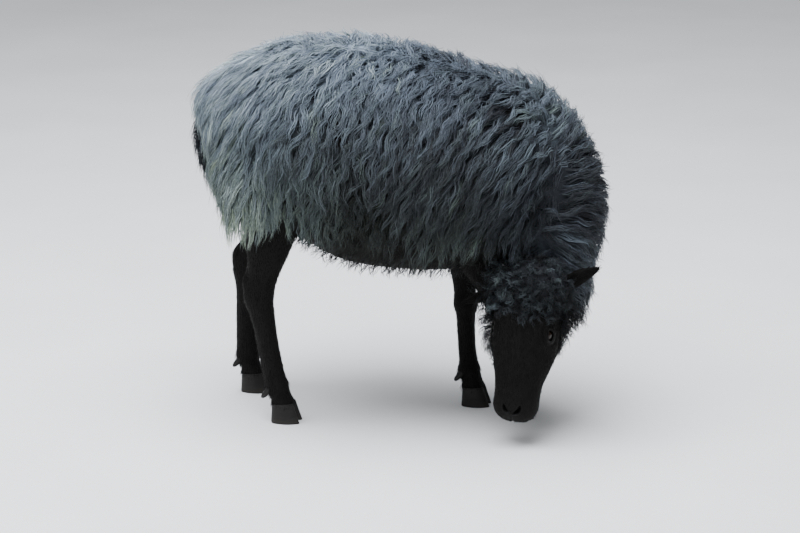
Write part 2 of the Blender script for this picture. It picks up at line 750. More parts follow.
def nostril_shares(points, side):
    """How far points are from the middle of a nostril's slit, where 1 is its edge."""
    middle = (NOSTRIL_DOWN_FACE, side * NOSTRIL_SIDE, NOSTRIL_DEPTH)
    local = moved(points, turned(middle, -side * NOSTRIL_TURN_DEG, "Z").inverted())
    bowed = local[:, 1] + side * NOSTRIL_BOW * (local[:, 0] / NOSTRIL_RADII[0]) ** 2
    share = np.hypot(local[:, 0] / NOSTRIL_RADII[0], bowed / NOSTRIL_RADII[1])
    return np.where(local[:, 2] > -0.012, share, 9.0)


def mouth_distance(places):
    """How far places in the face's frame are from the line of the mouth."""
    half = [(down, across, MOUTH_DEPTH) for down, across in MOUTH_LINE]
    line = smoothed(half + [(x, -y, z) for x, y, z in half[-2::-1]], 4)
    best = np.full(len(places), 9.0)
    for start, end in zip(line, line[1:]):
        way = end - start
        share = np.clip(((places - start) @ way) / (way @ way), 0, 1)
        best = np.minimum(best, np.linalg.norm(places - start - share[:, None] * way, axis=1))
    return best


def sculpt_face(obj):
    """Adds lids, folds, nostrils, lips and the line of the mouth to the plain skin of the head."""
    points = read_points(obj.data.vertices, "co")
    normals = unit(read_points(obj.data.vertices, "normal"))
    places = moved(points, HEAD.inverted())
    out = np.zeros(len(points))

    # The lips and the slit between them, the groove down the upper lip, and the wrinkles beside the mouth
    mouth = mouth_distance(places)
    out += swell(mouth, 0.0012, 0.0050) - swell(mouth, 0.0036, 0.0013)
    front = ramp(places[:, 0], 0.228, 0.240) * (places[:, 2] > -0.042)
    out -= swell(places[:, 1], 0.0016, 0.0014) * front
    out += swell(mouth - 0.006, 0.0004 * np.sin(places[:, 0] * 1400), 0.004)
    for side in (-1, 1):
        # The rim of the nostril and its hollow
        nostril = nostril_shares(points, side)
        out += swell(nostril - 1.5, 0.0012, 0.45) - 0.0080 * np.exp(-((nostril / 0.95) ** 4))
        # The rims of the lids, the fold round them, the brow over it, a second fold and the tear groove
        eye, above, near = eye_shares(points, side)
        out += swell(eye - 1.30, near * 0.0014, 0.26)
        fold = 1.95 + 0.25 * (above < 0)
        out -= swell(eye - fold, near * 0.0014, 0.18)
        out += swell(eye - fold - 0.40, near * 0.0010, 0.22) * (above > 0)
        out -= swell(eye - fold - 0.75, near * 0.0008, 0.15)
        tear = places - (0.116, side * 0.041, -0.014)
        out -= 0.0012 * np.exp(-((tear / (0.009, 0.006, 0.006)) ** 2).sum(axis=1))
    points += normals * out[:, None]
    obj.data.vertices.foreach_set("co", points.ravel())
    obj.data.update()


def bare_share(points):
    """How bare the skin is at each point: 1 on the nose, lips and edges of the lids, 0 in the hair."""
    places = moved(points, HEAD.inverted())
    bare = swell(mouth_distance(places), 1.0, 0.0030)
    pad = (places - (0.2420, 0.0, -0.012)) / (0.013, 0.013, 0.014)
    bare = np.maximum(bare, np.exp(-((pad**2).sum(axis=1) ** 1.5)))
    for side in (-1, 1):
        bare = np.maximum(bare, 1 - ramp(nostril_shares(points, side), 1.5, 2.3))
        eye, _, near = eye_shares(points, side)
        bare = np.maximum(bare, near * (1 - ramp(eye, 1.25, 1.75)))
    return bare


def ear_form(ear):
    """A cupped, pointed ear in loops from its root to its tip."""
    root, tip, opens = (np.array(part) for part in ear)
    along = unit(tip - root)
    opens = unit(opens - along * (along @ opens))
    across = np.cross(along, opens)
    spread = np.linspace(-1, 1, 15)[:, None]
    loops = []
    for share in np.append(np.linspace(0, 0.94, 22), (0.97, 0.99)):
        width = max(EAR_HALF_WIDTH * (0.57 + 1.6 * share - 2.05 * share**2), 0.0022)
        cup = EAR_CUP_DEPTH * (1 - 0.75 * share)
        wall = EAR_WALL * (1 - 0.45 * share)
        middle = root + (tip - root) * share - opens * 0.006 * math.sin(math.pi * share)
        hollow = middle + across * width * spread + opens * cup * spread**2
        back = hollow - opens * wall * (1 - 0.4 * spread**2)
        loops.append(np.vstack((back, hollow[-2:0:-1])))
    return carried(tube(np.array(loops)), HEAD)


def almond(share):
    """How far the upper and the lower lid are from the slit at shares of its half length."""
    arch = EYE_OPENING[2] * (1 - share**2) ** 0.8
    return 1.15 * arch, 0.85 * arch


def opening_form(side):
    """The almond-shaped opening between the lids of one eye, in the eye's frame."""
    share = np.linspace(-0.995, 0.995, 33)[:, None]
    angle = (math.tau * (np.arange(32) + 0.5) / 32)[None, :]
    upper, lower = almond(share)
    up = np.where(np.sin(angle) > 0, upper, lower) * np.sin(angle)
    out = side * EYE_RADIUS + EYE_OPENING[1] * np.sqrt(1 - 0.6 * share**2) * np.cos(angle)
    return tube(np.stack((EYE_OPENING[0] * share + 0 * angle, out, up), axis=2))


@functools.cache
def head_form():
    """The head with its brows, lids, nostrils and lips, cut open for the eyes, and its ears."""
    rows = smoothed(FACE, 6)
    rings = [
        (along, 0, (front + throat) / 2, wide, (front - throat) / 2) for along, wide, front, throat in rows
    ]
    points, faces = loft(rings, 72, taper=0.12)
    side = np.where(points[:, 1] > 0, 1.0, -1.0)
    for centre, reach, (out_by, forward_by) in FACE_FORMS:
        on_left = points * np.array((1, 0, 1)) + np.abs(points) * (0, 1, 0)
        near = np.exp(-(((on_left - centre) / reach) ** 2).sum(1))
        points[:, 1] += side * out_by * near
        points[:, 2] += forward_by * near
    forms = [carried((points, faces), HEAD), carried(ball(TOPKNOT_CENTRE, TOPKNOT_RADII), HEAD)]
    forms += [carried(ball((0, 0, 0), LID_RADII), eye_frame(way)) for way in (-1, 1)]
    head = remeshed(object_of("head", forms), *HEAD_SKIN)
    sculpt_face(head)
    room = EYE_RADIUS + EYE_CLEARANCE
    hollows = []
    for way in (-1, 1):
        hollows.append(object_of("room", [carried(ball((0, 0, 0), (room,) * 3, 48, 30), eye_frame(way))]))
        hollows.append(object_of("opening", [carried(opening_form(way), eye_frame(way))]))
    combine(head, hollows, "DIFFERENCE")
    combine(head, [object_of("ear", [ear_form(ear)]) for ear in EARS], "UNION")
    return Form(head)


def nearest_station(places):
    """The station of the line inside the body that is nearest each place, the way the line runs there, and
    how far along the line that is."""
    line = smoothed(FLEECE_LINE, 6)
    ahead = unit(np.diff(line[:, :3], axis=0))
    gaps = ((places[:, None] - line[None, :-1, :3]) ** 2).sum(axis=2)
    index = gaps.argmin(axis=1)
    return line[index], ahead[index], index / (len(line) - 1)


def lie_of_wool(places, twist):
    """The way the wool lies at each place: back, down and away from the parting, which each lock takes to be
    a little to one side by its own twist."""
    station, forwards, _ = nearest_station(places)
    parting = spun(unit(station[:, 3:6]), forwards, twist)
    outwards = places - station[:, :3]
    outwards = unit(outwards - forwards * dot(outwards, forwards))
    away = -(parting - outwards * dot(parting, outwards) - forwards * dot(parting, forwards))
    size = np.linalg.norm(away, axis=1, keepdims=True)
    away = np.where(size > 0.05, away / np.maximum(size, 1e-9), away)
    below = np.maximum(LOW_WOOL_Z - places[:, 2], 0)
    hang = station[:, 7] + (places[:, 0] < NECK_BASE_X) * LOW_WOOL_HANG * below
    # On the rump the wool sweeps back only along the spine, and hangs straight down the thighs
    low_behind = ramp(-places[:, 0:1], 0.06, 0.18) * (1 - ramp(places[:, 2:3], 0.50, 0.66))
    lie = away - forwards * station[:, 6:7] * (1 - low_behind)
    lie[:, 2] -= hang
    return lie


def coat_at(places):
    """The kind of wool at each place, blended from the kinds near it."""
    kinds = np.array(COATS)
    offset_x = (places[:, 0:1] - kinds[None, :, 0]) / kinds[None, :, 2]
    offset_z = (places[:, 2:3] - kinds[None, :, 1]) / kinds[None, :, 3]
    weight = np.exp(-(offset_x**2) - offset_z**2) + 1e-9
    blended = (weight[..., None] * kinds[None]).sum(axis=1) / weight.sum(axis=1)[:, None]
    return Coat(*blended.T)


def scattered(form, spacing, chance, allowed):
    """Places on the form where allowed, picked by chance but at least spacing apart, and the way it faces."""
    places, normals = form.sampled(spacing, chance)
    fitting = allowed(places, normals)
    places, normals = places[fitting], normals[fitting]
    cells = {}
    kept = []
    around = [(i, j, k) for i in (-1, 0, 1) for j in (-1, 0, 1) for k in (-1, 0, 1)]
    for index, place in enumerate(places.tolist()):
        a, b, c = (math.floor(value / spacing) for value in place)
        near = (other for i, j, k in around for other in cells.get((a + i, b + j, c + k), ()))
        if all(math.dist(place, other) > spacing for other in near):
            cells.setdefault((a, b, c), []).append(place)
            kept.append(index)
    return places[kept], normals[kept]


# The middle line of each lock: its points, the way across it, the way its skin faces and the way it runs, all
# per lock and ring
Guides = namedtuple("Guides", "centres across normals headings")

# How closely a lock follows the surface and the lie of the wool, how it sags on the body and where it hangs
# free, how it bends and rises to its tip, and how deep its root is
LOCK_CLING = 0.85
LOCK_FOLLOW = 0.30
LOCK_SAG = 0.05
FREE_SAG = 0.35
LOCK_BEND = 2.2
LOCK_RISE_POWER = 2.4
ROOT_DEPTH = 0.003

# How far, in radians round the body, a lock may take the parting to be from where it is
PARTING_SPREAD = 0.20


def trace_locks(form, roots, normals, lie, coat, lift, chance, steps):
    """Follows each lock from its root along the lie of the wool, rising to the tips of the fleece."""
    count = len(roots)
    twist = chance.normal(0, 1, count) * PARTING_SPREAD
    place = roots.copy()
    normal = normals.copy()
    stray = chance.normal(0, 1, count) * coat.stray
    bend = chance.uniform(-1, 1, count) * coat.stray * LOCK_BEND
    turns = chance.uniform(1.3, 2.6, count)
    phase = chance.uniform(0, math.tau, count)
    heading = tangent(lie(place, twist), normal)
    heading = spun(heading, normal, stray)
    rows = []
    for i in range(steps):
        share = i / (steps - 1)
        side = unit(np.cross(normal, heading))
        rise = -ROOT_DEPTH + (lift + ROOT_DEPTH) * (1 - (1 - share) ** LOCK_RISE_POWER)
        sway = coat.wave * np.sin(phase + math.tau * turns * share) * min(3 * share, 1.0)
        lap = coat.wave * 0.5 * np.cos(phase * 1.7 + math.tau * turns * share) * share
        centre = place + normal * (rise + lap)[:, None] + side * sway[:, None]
        rows.append((centre, side, normal.copy(), heading.copy()))
        place = place + heading * (coat.length / (steps - 1))[:, None]
        near, facing = form.nearest(place)
        clings = facing[:, 2:3] > UNDERSIDE
        place = np.where(clings, place + (near - place) * LOCK_CLING, place)
        normal = unit(np.where(clings, normal * 0.4 + facing * 0.6, normal))
        wanted = spun(tangent(lie(place, twist), normal), normal, stray + bend * share)
        heading = heading * (1 - LOCK_FOLLOW) + wanted * LOCK_FOLLOW
        heading[:, 2] -= np.where(clings[:, 0], LOCK_SAG, FREE_SAG)
        heading = unit(np.where(clings, tangent(heading, normal), heading))
    return Guides(*(np.stack(part, axis=1) for part in zip(*rows)))


def tangent(ways, normals):
    """The ways laid along the surface that faces along normals."""
    return unit(ways - normals * dot(ways, normals))


def spun(ways, normals, angles):
    """The ways turned about the normals by angles."""
    angles = np.asarray(angles)[:, None]
    return ways * np.cos(angles) + np.cross(normals, ways) * np.sin(angles)


def along_guides(values, shares):
    """The guides' values at shares of their length, one row of shares for each guide."""
    last = values.shape[1] - 1
    spot = np.clip(shares * last, 0, last - 1e-6)
    low = spot.astype(int)
    part = (spot - low)[..., None]
    rows = np.arange(len(values))[:, None]
    return values[rows, low] * (1 - part) + values[rows, low + 1] * part


# Strands ready to be made: the middle of each at each ring, the way across it there, the way it faces and its
# width, and for each strand how pale and how warm it is and its root's place on the unwrapped skin
Strands = namedtuple("Strands", "centres across normals widths pale warm spot")

# The strands of a lock: the share of its length they reach, how they rise apart, how often and how far they
# wander, alone and with its waves, the turns of a curl, how many come loose and how far, and how their width
# varies along and between them
STRAND_REACH = (0.72, 1.0)
STRAND_RISE = 0.0035
STRAND_WAVES = (0.8, 2.0)
STRAND_WANDER = 0.0008
WAVE_WANDER = 0.40
CURL_TURNS = 2.2
LOOSE_SHARE = 0.05
LOOSE_RISE = 0.010
STRAND_PROFILE = ((0.0, 0.25, 0.65, 1.0), (0.75, 1.0, 0.72, 0.0))
STRAND_WIDTHS = (0.7, 1.2)


def strands_of(guides, per_lock, coat, width, spread, rings, chance, pale, warm, spot):
    """Strands spread over each lock, running together towards its tip."""
    lock = np.repeat(np.arange(len(guides.centres)), per_lock)
    count = len(lock)
    share = np.linspace(0, 1, rings)[None, :]
    reach = chance.uniform(*STRAND_REACH, count)[:, None]
    shares = share * reach
    centres = along_guides(guides.centres[lock], shares)
    across = unit(along_guides(guides.across[lock], shares))
    normals = unit(along_guides(guides.normals[lock], shares))
    headings = unit(along_guides(guides.headings[lock], shares))
    clump = coat.clump[lock][:, None]
    narrow = 1 - clump * share**0.9
    aside = chance.uniform(-1, 1, count)[:, None] * spread / 2
    ahead = chance.uniform(-1, 1, count)[:, None] * spread / 2
    above = chance.uniform(-1, 1, count)[:, None] * STRAND_RISE * share
    own = chance.uniform(0, math.tau, count)[:, None]
    waves = chance.uniform(*STRAND_WAVES, count)[:, None]
    wander = STRAND_WANDER + WAVE_WANDER * coat.wave[lock][:, None]
    wander = wander * np.sin(own + math.tau * waves * share) * share
    curl = coat.curl[lock][:, None]
    coil = own + math.tau * share * CURL_TURNS
    aside = aside * narrow + wander + curl * np.sin(coil)
    above = above + curl * (np.cos(coil) + 0.3) * share
    loose = chance.random(count)[:, None] < LOOSE_SHARE
    above = above + loose * LOOSE_RISE * share**2
    centres = centres + across * aside[..., None] + normals * above[..., None]
    centres = centres + headings * (ahead * narrow)[..., None]
    profile = np.interp(share, *STRAND_PROFILE)
    widths = width * profile * chance.uniform(*STRAND_WIDTHS, count)[:, None]
    return Strands(centres, across, normals, widths, pale, warm, spot[lock])


def attribute_of(data, name, columns):
    """Stores three numbers for each point of a mesh under a name."""
    values = np.stack(np.broadcast_arrays(*columns), axis=-1).astype(np.float32)
    data.attributes.new(name, "FLOAT_VECTOR", "POINT").data.foreach_set("vector", values.ravel())


def mesh_of_strands(name, strands, material, flat=0.5):
    """One mesh of all the strands: each a tapered three-sided blade that ends in a point."""
    count, rings = strands.centres.shape[:2]
    angles = np.radians((90, 210, 330))
    body = strands.centres[:, :-1, None]
    half = strands.widths[:, :-1, None, None] / 2
    offsets = (
        strands.across[:, :-1, None] * np.cos(angles)[:, None] * half
        + strands.normals[:, :-1, None] * np.sin(angles)[:, None] * half * flat
    )
    ring_points = (body + offsets).reshape(count, -1, 3)
    points = np.concatenate((ring_points, strands.centres[:, -1:]), axis=1)
    size = points.shape[1]
    corners, starts, sides_at = strand_faces(rings)
    start = np.arange(count)[:, None] * size
    loops = (start + corners[None]).astype(np.int32)
    face_starts = (np.arange(count)[:, None] * len(corners) + starts[None]).astype(np.int32)

    data = bpy.data.meshes.new(name)
    data.vertices.add(count * size)
    data.vertices.foreach_set("co", points.astype(np.float32).ravel())
    data.loops.add(loops.size)
    data.loops.foreach_set("vertex_index", loops.ravel())
    data.polygons.add(face_starts.size)
    data.polygons.foreach_set("loop_start", face_starts.ravel())
    data.update(calc_edges=True)
    data.shade_smooth()

    along = np.append(np.repeat(np.arange(rings - 1) / (rings - 1), 3), 1.0)
    attribute_of(data, "wool", (strands.pale[:, None], strands.warm[:, None], along[None]))

    patch = PATCH * np.stack((sides_at, along[corners]), axis=1)
    uv = (strands.spot[:, None] + patch[None]).astype(np.float32)
    data.uv_layers.new(name=UV_NAME).data.foreach_set("uv", uv.ravel())

    obj = placed(name, data)
    data.materials.append(material)
    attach(obj, BODY)
    return obj


@functools.cache
def strand_faces(rings):
    """The corners of one strand's faces, where each face starts, and each corner's place round the strand."""
    corners = [0, 2, 1]
    starts = [0]
    sides_at = [0.0, 2 / 3, 1 / 3]
    for ring in range(rings - 2):
        for side in range(3):
            low, high = 3 * ring, 3 * ring + 3
            after = (side + 1) % 3
            starts.append(len(corners))
            corners += [low + side, low + after, high + after, high + side]
            sides_at += [side / 3, (side + 1) / 3, (side + 1) / 3, side / 3]
    for side in range(3):
        low = 3 * (rings - 2)
        starts.append(len(corners))
        corners += [low + side, low + (side + 1) % 3, 3 * (rings - 1)]
        sides_at += [side / 3, (side + 1) / 3, (side + 0.5) / 3]
    return np.array(corners), np.array(starts), np.array(sides_at)


def on_chart(values, chart=0, charts=1):
    """Places on the unwrapped skin: two coordinates of each root scaled to one of the charts side by side."""
    values = np.asarray(values, float)
    low, high = values.min(axis=0), values.max(axis=0)
    share = (values - low) / np.maximum(high - low, 1e-9)
    share = 0.01 + share * (0.98 - PATCH)
    share[:, 0] = (chart + share[:, 0]) / charts
    return share


def charted(values, groups, charts):
    """Places on the unwrapped skin, with each group of roots on a chart of its own."""
    spots = np.zeros((len(values), 2))
    for number in range(charts):
        mine = groups == number
        if mine.any():
            spots[mine] = on_chart(values[mine], number, charts)
    return spots


def add_node(tree, kind, settings=None, links=None):
    """Adds a shader node with its settings, the values of its inputs and its links from other outputs."""
    node = tree.nodes.new("ShaderNode" + kind)
    for key, value in (settings or {}).items():
        if isinstance(key, int) or key in node.inputs:
            node.inputs[key].default_value = value
        else:
            setattr(node, key, value)
    for key, output in (links or {}).items():
        tree.links.new(output, node.inputs[key])
    return node


def new_material(name, **sockets):
    """A material with values set on its shader's own sockets; underscores stand for spaces."""
    material = bpy.data.materials.new(name)
    material.use_nodes = True
    tree = material.node_tree
    shader = tree.nodes["Principled BSDF"]
    for socket, value in sockets.items():
        shader.inputs[socket.replace("_", " ")].default_value = value
    return material, tree, shader


def colour_ramp(tree, factor, stops):
    """The colour that a factor stands for between some stops."""
    stops = list(stops)
    node = add_node(tree, "ValToRGB", links={"Fac": factor})
    elements = node.color_ramp.elements
    while len(elements) < len(stops):
        elements.new(0.5)
    for element, (position, colour) in zip(elements, stops):
        element.position = position
        element.color = (*colour, 1.0)
    return node.outputs["Color"]


# How much the wool's tone varies in flecks and grows paler to the tips, how much darker all of it is, and how
# far and how brightly warm wool takes the weathered tone
FLECK_TONE = 0.22
TIP_TONE = 0.07
TONE_DROP = 0.14
WARM_SHARE = 0.80
WARM_GAIN = 2.4


def wool_colour(tree, settings):
    """The colour of the wool from its tone, warmth and place along the strand, and its flecks."""
    read = add_node(tree, "Attribute", {"attribute_name": "wool"})
    parts = add_node(tree, "SeparateXYZ", links={0: read.outputs["Vector"]})
    tone, warm, along = parts.outputs
    # Single hairs differ a little in tone, too finely to show, so the flecks are drawn 6 mm across
    place = add_node(tree, "TexCoord").outputs["Object"]
    flecks = add_node(tree, "TexNoise", {"Scale": 1 / 0.006, "Detail": 3.0}, {"Vector": place})
    add = {"operation": "MULTIPLY_ADD"}
    flecked = add_node(tree, "Math", {**add, 1: FLECK_TONE}, {0: flecks.outputs["Fac"], 2: tone})
    tips = add_node(tree, "Math", {**add, 1: TIP_TONE}, {0: along, 2: flecked.outputs[0]})
    level = add_node(tree, "Math", {"operation": "SUBTRACT", 1: TONE_DROP}, {0: tips.outputs[0]})
    shades = (settings.black, settings.charcoal, settings.grey, settings.silver)
    cool = colour_ramp(tree, level.outputs[0], zip((0.0, 0.30, 0.66, 1.0), shades))
    amount = add_node(tree, "Math", {"operation": "MULTIPLY", 1: WARM_SHARE}, {0: warm})
    tinted = {"data_type": "RGBA", "blend_type": "MULTIPLY", 0: 1.0}
    lit = add_node(tree, "Mix", tinted, {6: cool})
    lit.inputs[7].default_value = (*[WARM_GAIN * part for part in settings.brown], 1.0)
    ends = {0: amount.outputs[0], 6: cool, 7: lit.outputs[2]}
    mixed = add_node(tree, "Mix", {"data_type": "RGBA"}, ends)
    return mixed.outputs[2], flecks.outputs["Fac"]


@functools.cache
def wool_fibre():
    """Long outer wool: keratin fibres with a little grease, so a soft sheen on a matt, streaked coat."""
    settings = bpy.context.scene.ewe_wool
    material, tree, shader = new_material(
        "long wool", Roughness=0.62, Specular_IOR_Level=0.11, IOR=1.55, Sheen_Weight=0.02, Sheen_Roughness=0.5
    )
    colour, flecks = wool_colour(tree, settings)
    bump = add_node(tree, "Bump", {"Strength": 0.25, "Distance": 0.0004}, {"Height": flecks})
    tree.links.new(colour, shader.inputs["Base Color"])
    tree.links.new(bump.outputs[0], shader.inputs["Normal"])
    return material


@functools.cache
def short_hair():
    """Short flat hair: smooth black keratin that lies in one direction, so it has a low, brownish gloss."""
    settings = bpy.context.scene.ewe_hair
    material, tree, shader = new_material(
        "short black hair", Roughness=0.55, Specular_IOR_Level=0.06, IOR=1.55
    )
    read = add_node(tree, "Attribute", {"attribute_name": "wool"})
    parts = add_node(tree, "SeparateXYZ", links={0: read.outputs["Vector"]})
    tone, _, along = parts.outputs
    mix = add_node(tree, "Math", {"operation": "MULTIPLY"}, {0: tone, 1: along})
    stops = ((0.0, settings.black), (1.0, settings.brown))
    tree.links.new(colour_ramp(tree, mix.outputs[0], stops), shader.inputs["Base Color"])
    return material


@functools.cache
def skin_and_felt():
    """Skin of the whole body: felted wool under the fleece, short flat hair on the face and legs, where it
    shows as fine streaks, and smooth moist skin at the nose, lips and lids."""
    wool = bpy.context.scene.ewe_wool
    hair = bpy.context.scene.ewe_hair
    material, tree, shader = new_material(
        "skin with felted wool and short hair", IOR=1.45, Specular_IOR_Level=0.08
    )
    felt, _ = wool_colour(tree, wool)
    tinted = {"data_type": "RGBA", "blend_type": "MULTIPLY", 0: 1.0}
    shade = add_node(tree, "Mix", tinted, {6: felt})
    shade.inputs[7].default_value = (0.85, 0.85, 0.85, 1.0)
    # Hairs of the face and legs point down; drawn 1 mm wide and 8 mm long, several times as wide as real ones
    place = add_node(tree, "TexCoord").outputs["Object"]
    per_metre = (1 / 0.001, 1 / 0.001, 1 / 0.008)
    stretched = add_node(tree, "Mapping", {"Scale": per_metre}, {"Vector": place}).outputs[0]
    streaks = add_node(tree, "TexNoise", {"Scale": 1.0, "Detail": 2.0}, {"Vector": stretched})
    combed = colour_ramp(tree, streaks.outputs["Fac"], ((0.35, hair.black), (0.8, hair.brown)))
    read = add_node(tree, "Attribute", {"attribute_name": "cover"})
    cover = add_node(tree, "SeparateXYZ", links={0: read.outputs["Vector"]})
    in_hair, is_bare, _ = cover.outputs
    ends = {0: in_hair, 6: shade.outputs[2], 7: combed}
    haired = add_node(tree, "Mix", {"data_type": "RGBA"}, ends)
    colour = add_node(tree, "Mix", {"data_type": "RGBA"}, {0: is_bare, 6: haired.outputs[2]})
    colour.inputs[7].default_value = (*hair.skin, 1.0)
    gloss = add_node(tree, "MapRange", {"To Min": 0.62, "To Max": 0.38}, {"Value": is_bare})
    # The pebbled skin of the nose has grains about a millimetre across
    grain = add_node(tree, "TexVoronoi", {"Scale": 1 / 0.0012}, {"Vector": place})
    ends = {0: is_bare, 2: streaks.outputs["Fac"], 3: grain.outputs["Distance"]}
    relief = add_node(tree, "Mix", {"data_type": "FLOAT"}, ends).outputs[0]
    bump = add_node(tree, "Bump", {"Strength": 0.5, "Distance": 0.0005}, {"Height": relief})
    tree.links.new(colour.outputs[2], shader.inputs["Base Color"])
    tree.links.new(gloss.outputs[0], shader.inputs["Roughness"])
    tree.links.new(bump.outputs[0], shader.inputs["Normal"])
    return material


class EWE_OT_stage(bpy.types.Operator):
    """Lay the pale floor and set up the soft light and the camera"""

    bl_idname = "ewe.stage"
    bl_label = "Stage and camera"

    def execute(self, context):
        settings = context.scene.ewe_stage
        lay_floor(settings)
        add_soft_light("top_light", (-0.5, -0.6, 3.4), (0.0, 0.0, 0.3), 3.6, settings.top_power, "F2F6FF")
        add_soft_light("side_light", (2.4, -4.2, 2.2), (0.1, 0.0, 0.3), 2.4, settings.side_power, "FFF8F0")
        world = bpy.data.worlds.new("studio air")
        context.scene.world = world
        world.use_nodes = True
        background = world.node_tree.nodes["Background"]
        background.inputs["Color"].default_value = (*settings.air, 1.0)
        background.inputs["Strength"].default_value = 0.5
        place_camera(context.scene)
        return {"FINISHED"}


FLOOR_SIZE = 40.0


def lay_floor(settings):
    """A wide, pale, matt floor."""
    half = FLOOR_SIZE / 2
    data = bpy.data.meshes.new("floor")
    corners = [(-half, -half, 0), (half, -half, 0), (half, half, 0), (-half, half, 0)]
    data.from_pydata(corners, [], [(0, 1, 2, 3)])
    floor = placed("floor", data)
    data.materials.append(floor_paint(settings))


def floor_paint(settings):
    """Matt emulsion rolled on a studio floor: pale grey, with faint clouds about 400 mm across."""
    material, tree, shader = new_material("matt floor paint", Roughness=0.85, Specular_IOR_Level=0.2)
    place = add_node(tree, "TexCoord").outputs["Object"]
    mottle = add_node(tree, "TexNoise", {"Scale": 1 / 0.4, "Detail": 4.0}, {"Vector": place})
    darker = tuple(0.93 * part for part in settings.floor)
    tree.links.new(
        colour_ramp(tree, mottle.outputs["Fac"], ((0.3, darker), (0.7, tuple(settings.floor)))),
        shader.inputs["Base Color"],
    )
    return material


def aimed(place, way):
    """The matrix of a light or camera at a place that points along a way."""
    return Matrix.Translation(place) @ way.to_track_quat("-Z", "Y").to_matrix().to_4x4()


def add_soft_light(name, place, target, size, power, hex_colour):
    """A large square light that points at the target."""
    light = bpy.data.lights.new(name, "AREA")
    light.size = size
    light.energy = power
    light.color = linear(hex_colour)
    placed(name, light).matrix_world = aimed(place, Vector(target) - Vector(place))


def place_camera(scene):
    """The camera at the angle and distance from which she is seen."""
    azimuth = math.radians(CAMERA_AZIMUTH_DEG)
    elevation = math.radians(CAMERA_ELEVATION_DEG)
    level = math.cos(elevation)
    back = Vector((math.sin(azimuth) * level, -math.cos(azimuth) * level, math.sin(elevation)))
    data = bpy.data.cameras.new("camera")
    data.lens = CAMERA_LENS_MM
    data.sensor_width = SENSOR_MM
    camera = placed("camera", data)
    camera.matrix_world = aimed(CAMERA_TARGET + back * CAMERA_DISTANCE, -back)
    scene.camera = camera


# How near a form a point of the skin has to be to belong to it
ON_SURFACE = 0.0006


class EWE_OT_skin(bpy.types.Operator):
    """Make the one skin of the whole animal"""

    bl_idname = "ewe.skin"
    bl_label = "Skin"

    def execute(self, context):
        fleece = fleece_form(context.scene.ewe_wool.lift)
        skin = fleece.as_object("skin")
        others = [form.as_object("part") for form in (legs_form(), tail_form(), head_form())]
        combine(skin, others, "UNION")
        skin.data.materials.clear()
        skin.data.shade_smooth()
        points = read_points(skin.data.vertices, "co")
        kinds = coat_at(points)
        on_head, on_legs, on_tail = (
            form().height(points) < ON_SURFACE for form in (head_form, legs_form, tail_form)
        )
        haired = np.where((on_head & ~on_poll(points)) | on_legs | on_tail, 1.0, 0.0)
        bare = np.where(on_head, bare_share(points), 0.0)
        underside = ramp(-read_points(skin.data.vertices, "normal")[:, 2], 0.25, 0.7)
        pale = np.where(on_head, POLL_FELT_PALE, kinds.pale * (1 - underside) + BELLY_PALE * underside)
        pale = pale * ramp(crease_gap(points), *CREASE_FELT)
        attribute_of(skin.data, "wool", (pale, kinds.warm, np.zeros(len(points))))
        attribute_of(skin.data, "cover", (haired, bare, np.zeros(len(points))))
        skin.data.materials.append(skin_and_felt())
        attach(skin, BODY)
        limbs = [f"{limb}_{side}" for limb in ("foreleg", "hindleg", "ear") for side in ("right", "left")]
        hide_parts("torso", "neck", "head", "tail", *limbs)
        return {"FINISHED"}


class EWE_OT_fleece(bpy.types.Operator):
    """Grow the long wool of the body and neck"""

    bl_idname = "ewe.fleece"
    bl_label = "Fleece"

    def execute(self, context):
        settings = context.scene.ewe_wool
        chance = np.random.default_rng(settings.seed)
        form = fleece_form(settings.lift)

        def allowed(places, normals):
            outside = head_form().height(places) > -WOOL_IN_HEAD
            return ~short_woolled(places, normals) & outside & ~over_tail(places)

        places, normals = scattered(form, settings.lock_spacing, chance, allowed)
        kinds = coat_at(places)
        by_tail = 1 - ramp(np.linalg.norm(places - TAIL_TOP, axis=1), *TAIL_REACHES)
        # The locks are short over the gaskins and lie close where the rump, the chest and the neck end
        x, z = places[:, 0], places[:, 2]
        over_gaskin = (1 - ramp(z, *GASKIN_HEIGHTS)) * ramp(-x, *GASKIN_BACK)
        shorter = (1 - 0.5 * by_tail) * (1 - over_gaskin * (0.45 + 0.30 * ramp(x, *GASKIN_FRONT)))
        kinds = kinds._replace(length=kinds.length * chance.uniform(*LOCK_LENGTHS, len(x)) * shorter)
        ends = np.maximum(ramp(-x, *RUMP_END), 0.7 * ramp(x, *CHEST_END))
        close = 1 - 0.6 * np.maximum(by_tail, ends)
        lift = settings.lift * chance.uniform(*LOCK_LIFTS, len(x)) * close
        guides = trace_locks(form, places, normals, lie_of_wool, kinds, lift, chance, LOCK_RINGS)
        guides = gathered(form, places, guides, kinds, settings.lift, chance)
        keep = clear_of_face(guides) & (crease_gap(guides.centres).min(axis=1) > CREASE_HALF_WIDTH)
        guides, kinds = pick(guides, keep), pick(kinds, keep)
        places = places[keep]
        tone, warmth = lock_tones(places, kinds, chance)
        tone = tone * (CREASE_TONE + (1 - CREASE_TONE) * ramp(crease_gap(places), *CREASE_SHADOW))
        spots = unwrapped(places)
        region = region_of(places)
        for number, (name, per_lock, rings) in enumerate(FLEECE_REGIONS):
            mine = region == number
            lock = np.repeat(np.flatnonzero(mine), per_lock)
            pale = np.clip(tone[lock] + chance.normal(0, 0.055, len(lock)), 0, 1)
            warm = np.clip(warmth[lock] + chance.normal(0, 0.10, len(lock)), 0, 1)
            width, spread = settings.strand_width, settings.lock_width
            locks, coat, spot = pick(guides, mine), pick(kinds, mine), on_chart(spots[mine])
            made = strands_of(locks, per_lock, coat, width, spread, rings, chance, pale, warm, spot)
            piece = mesh_of_strands(name, made, wool_fibre())
        return {"FINISHED"}


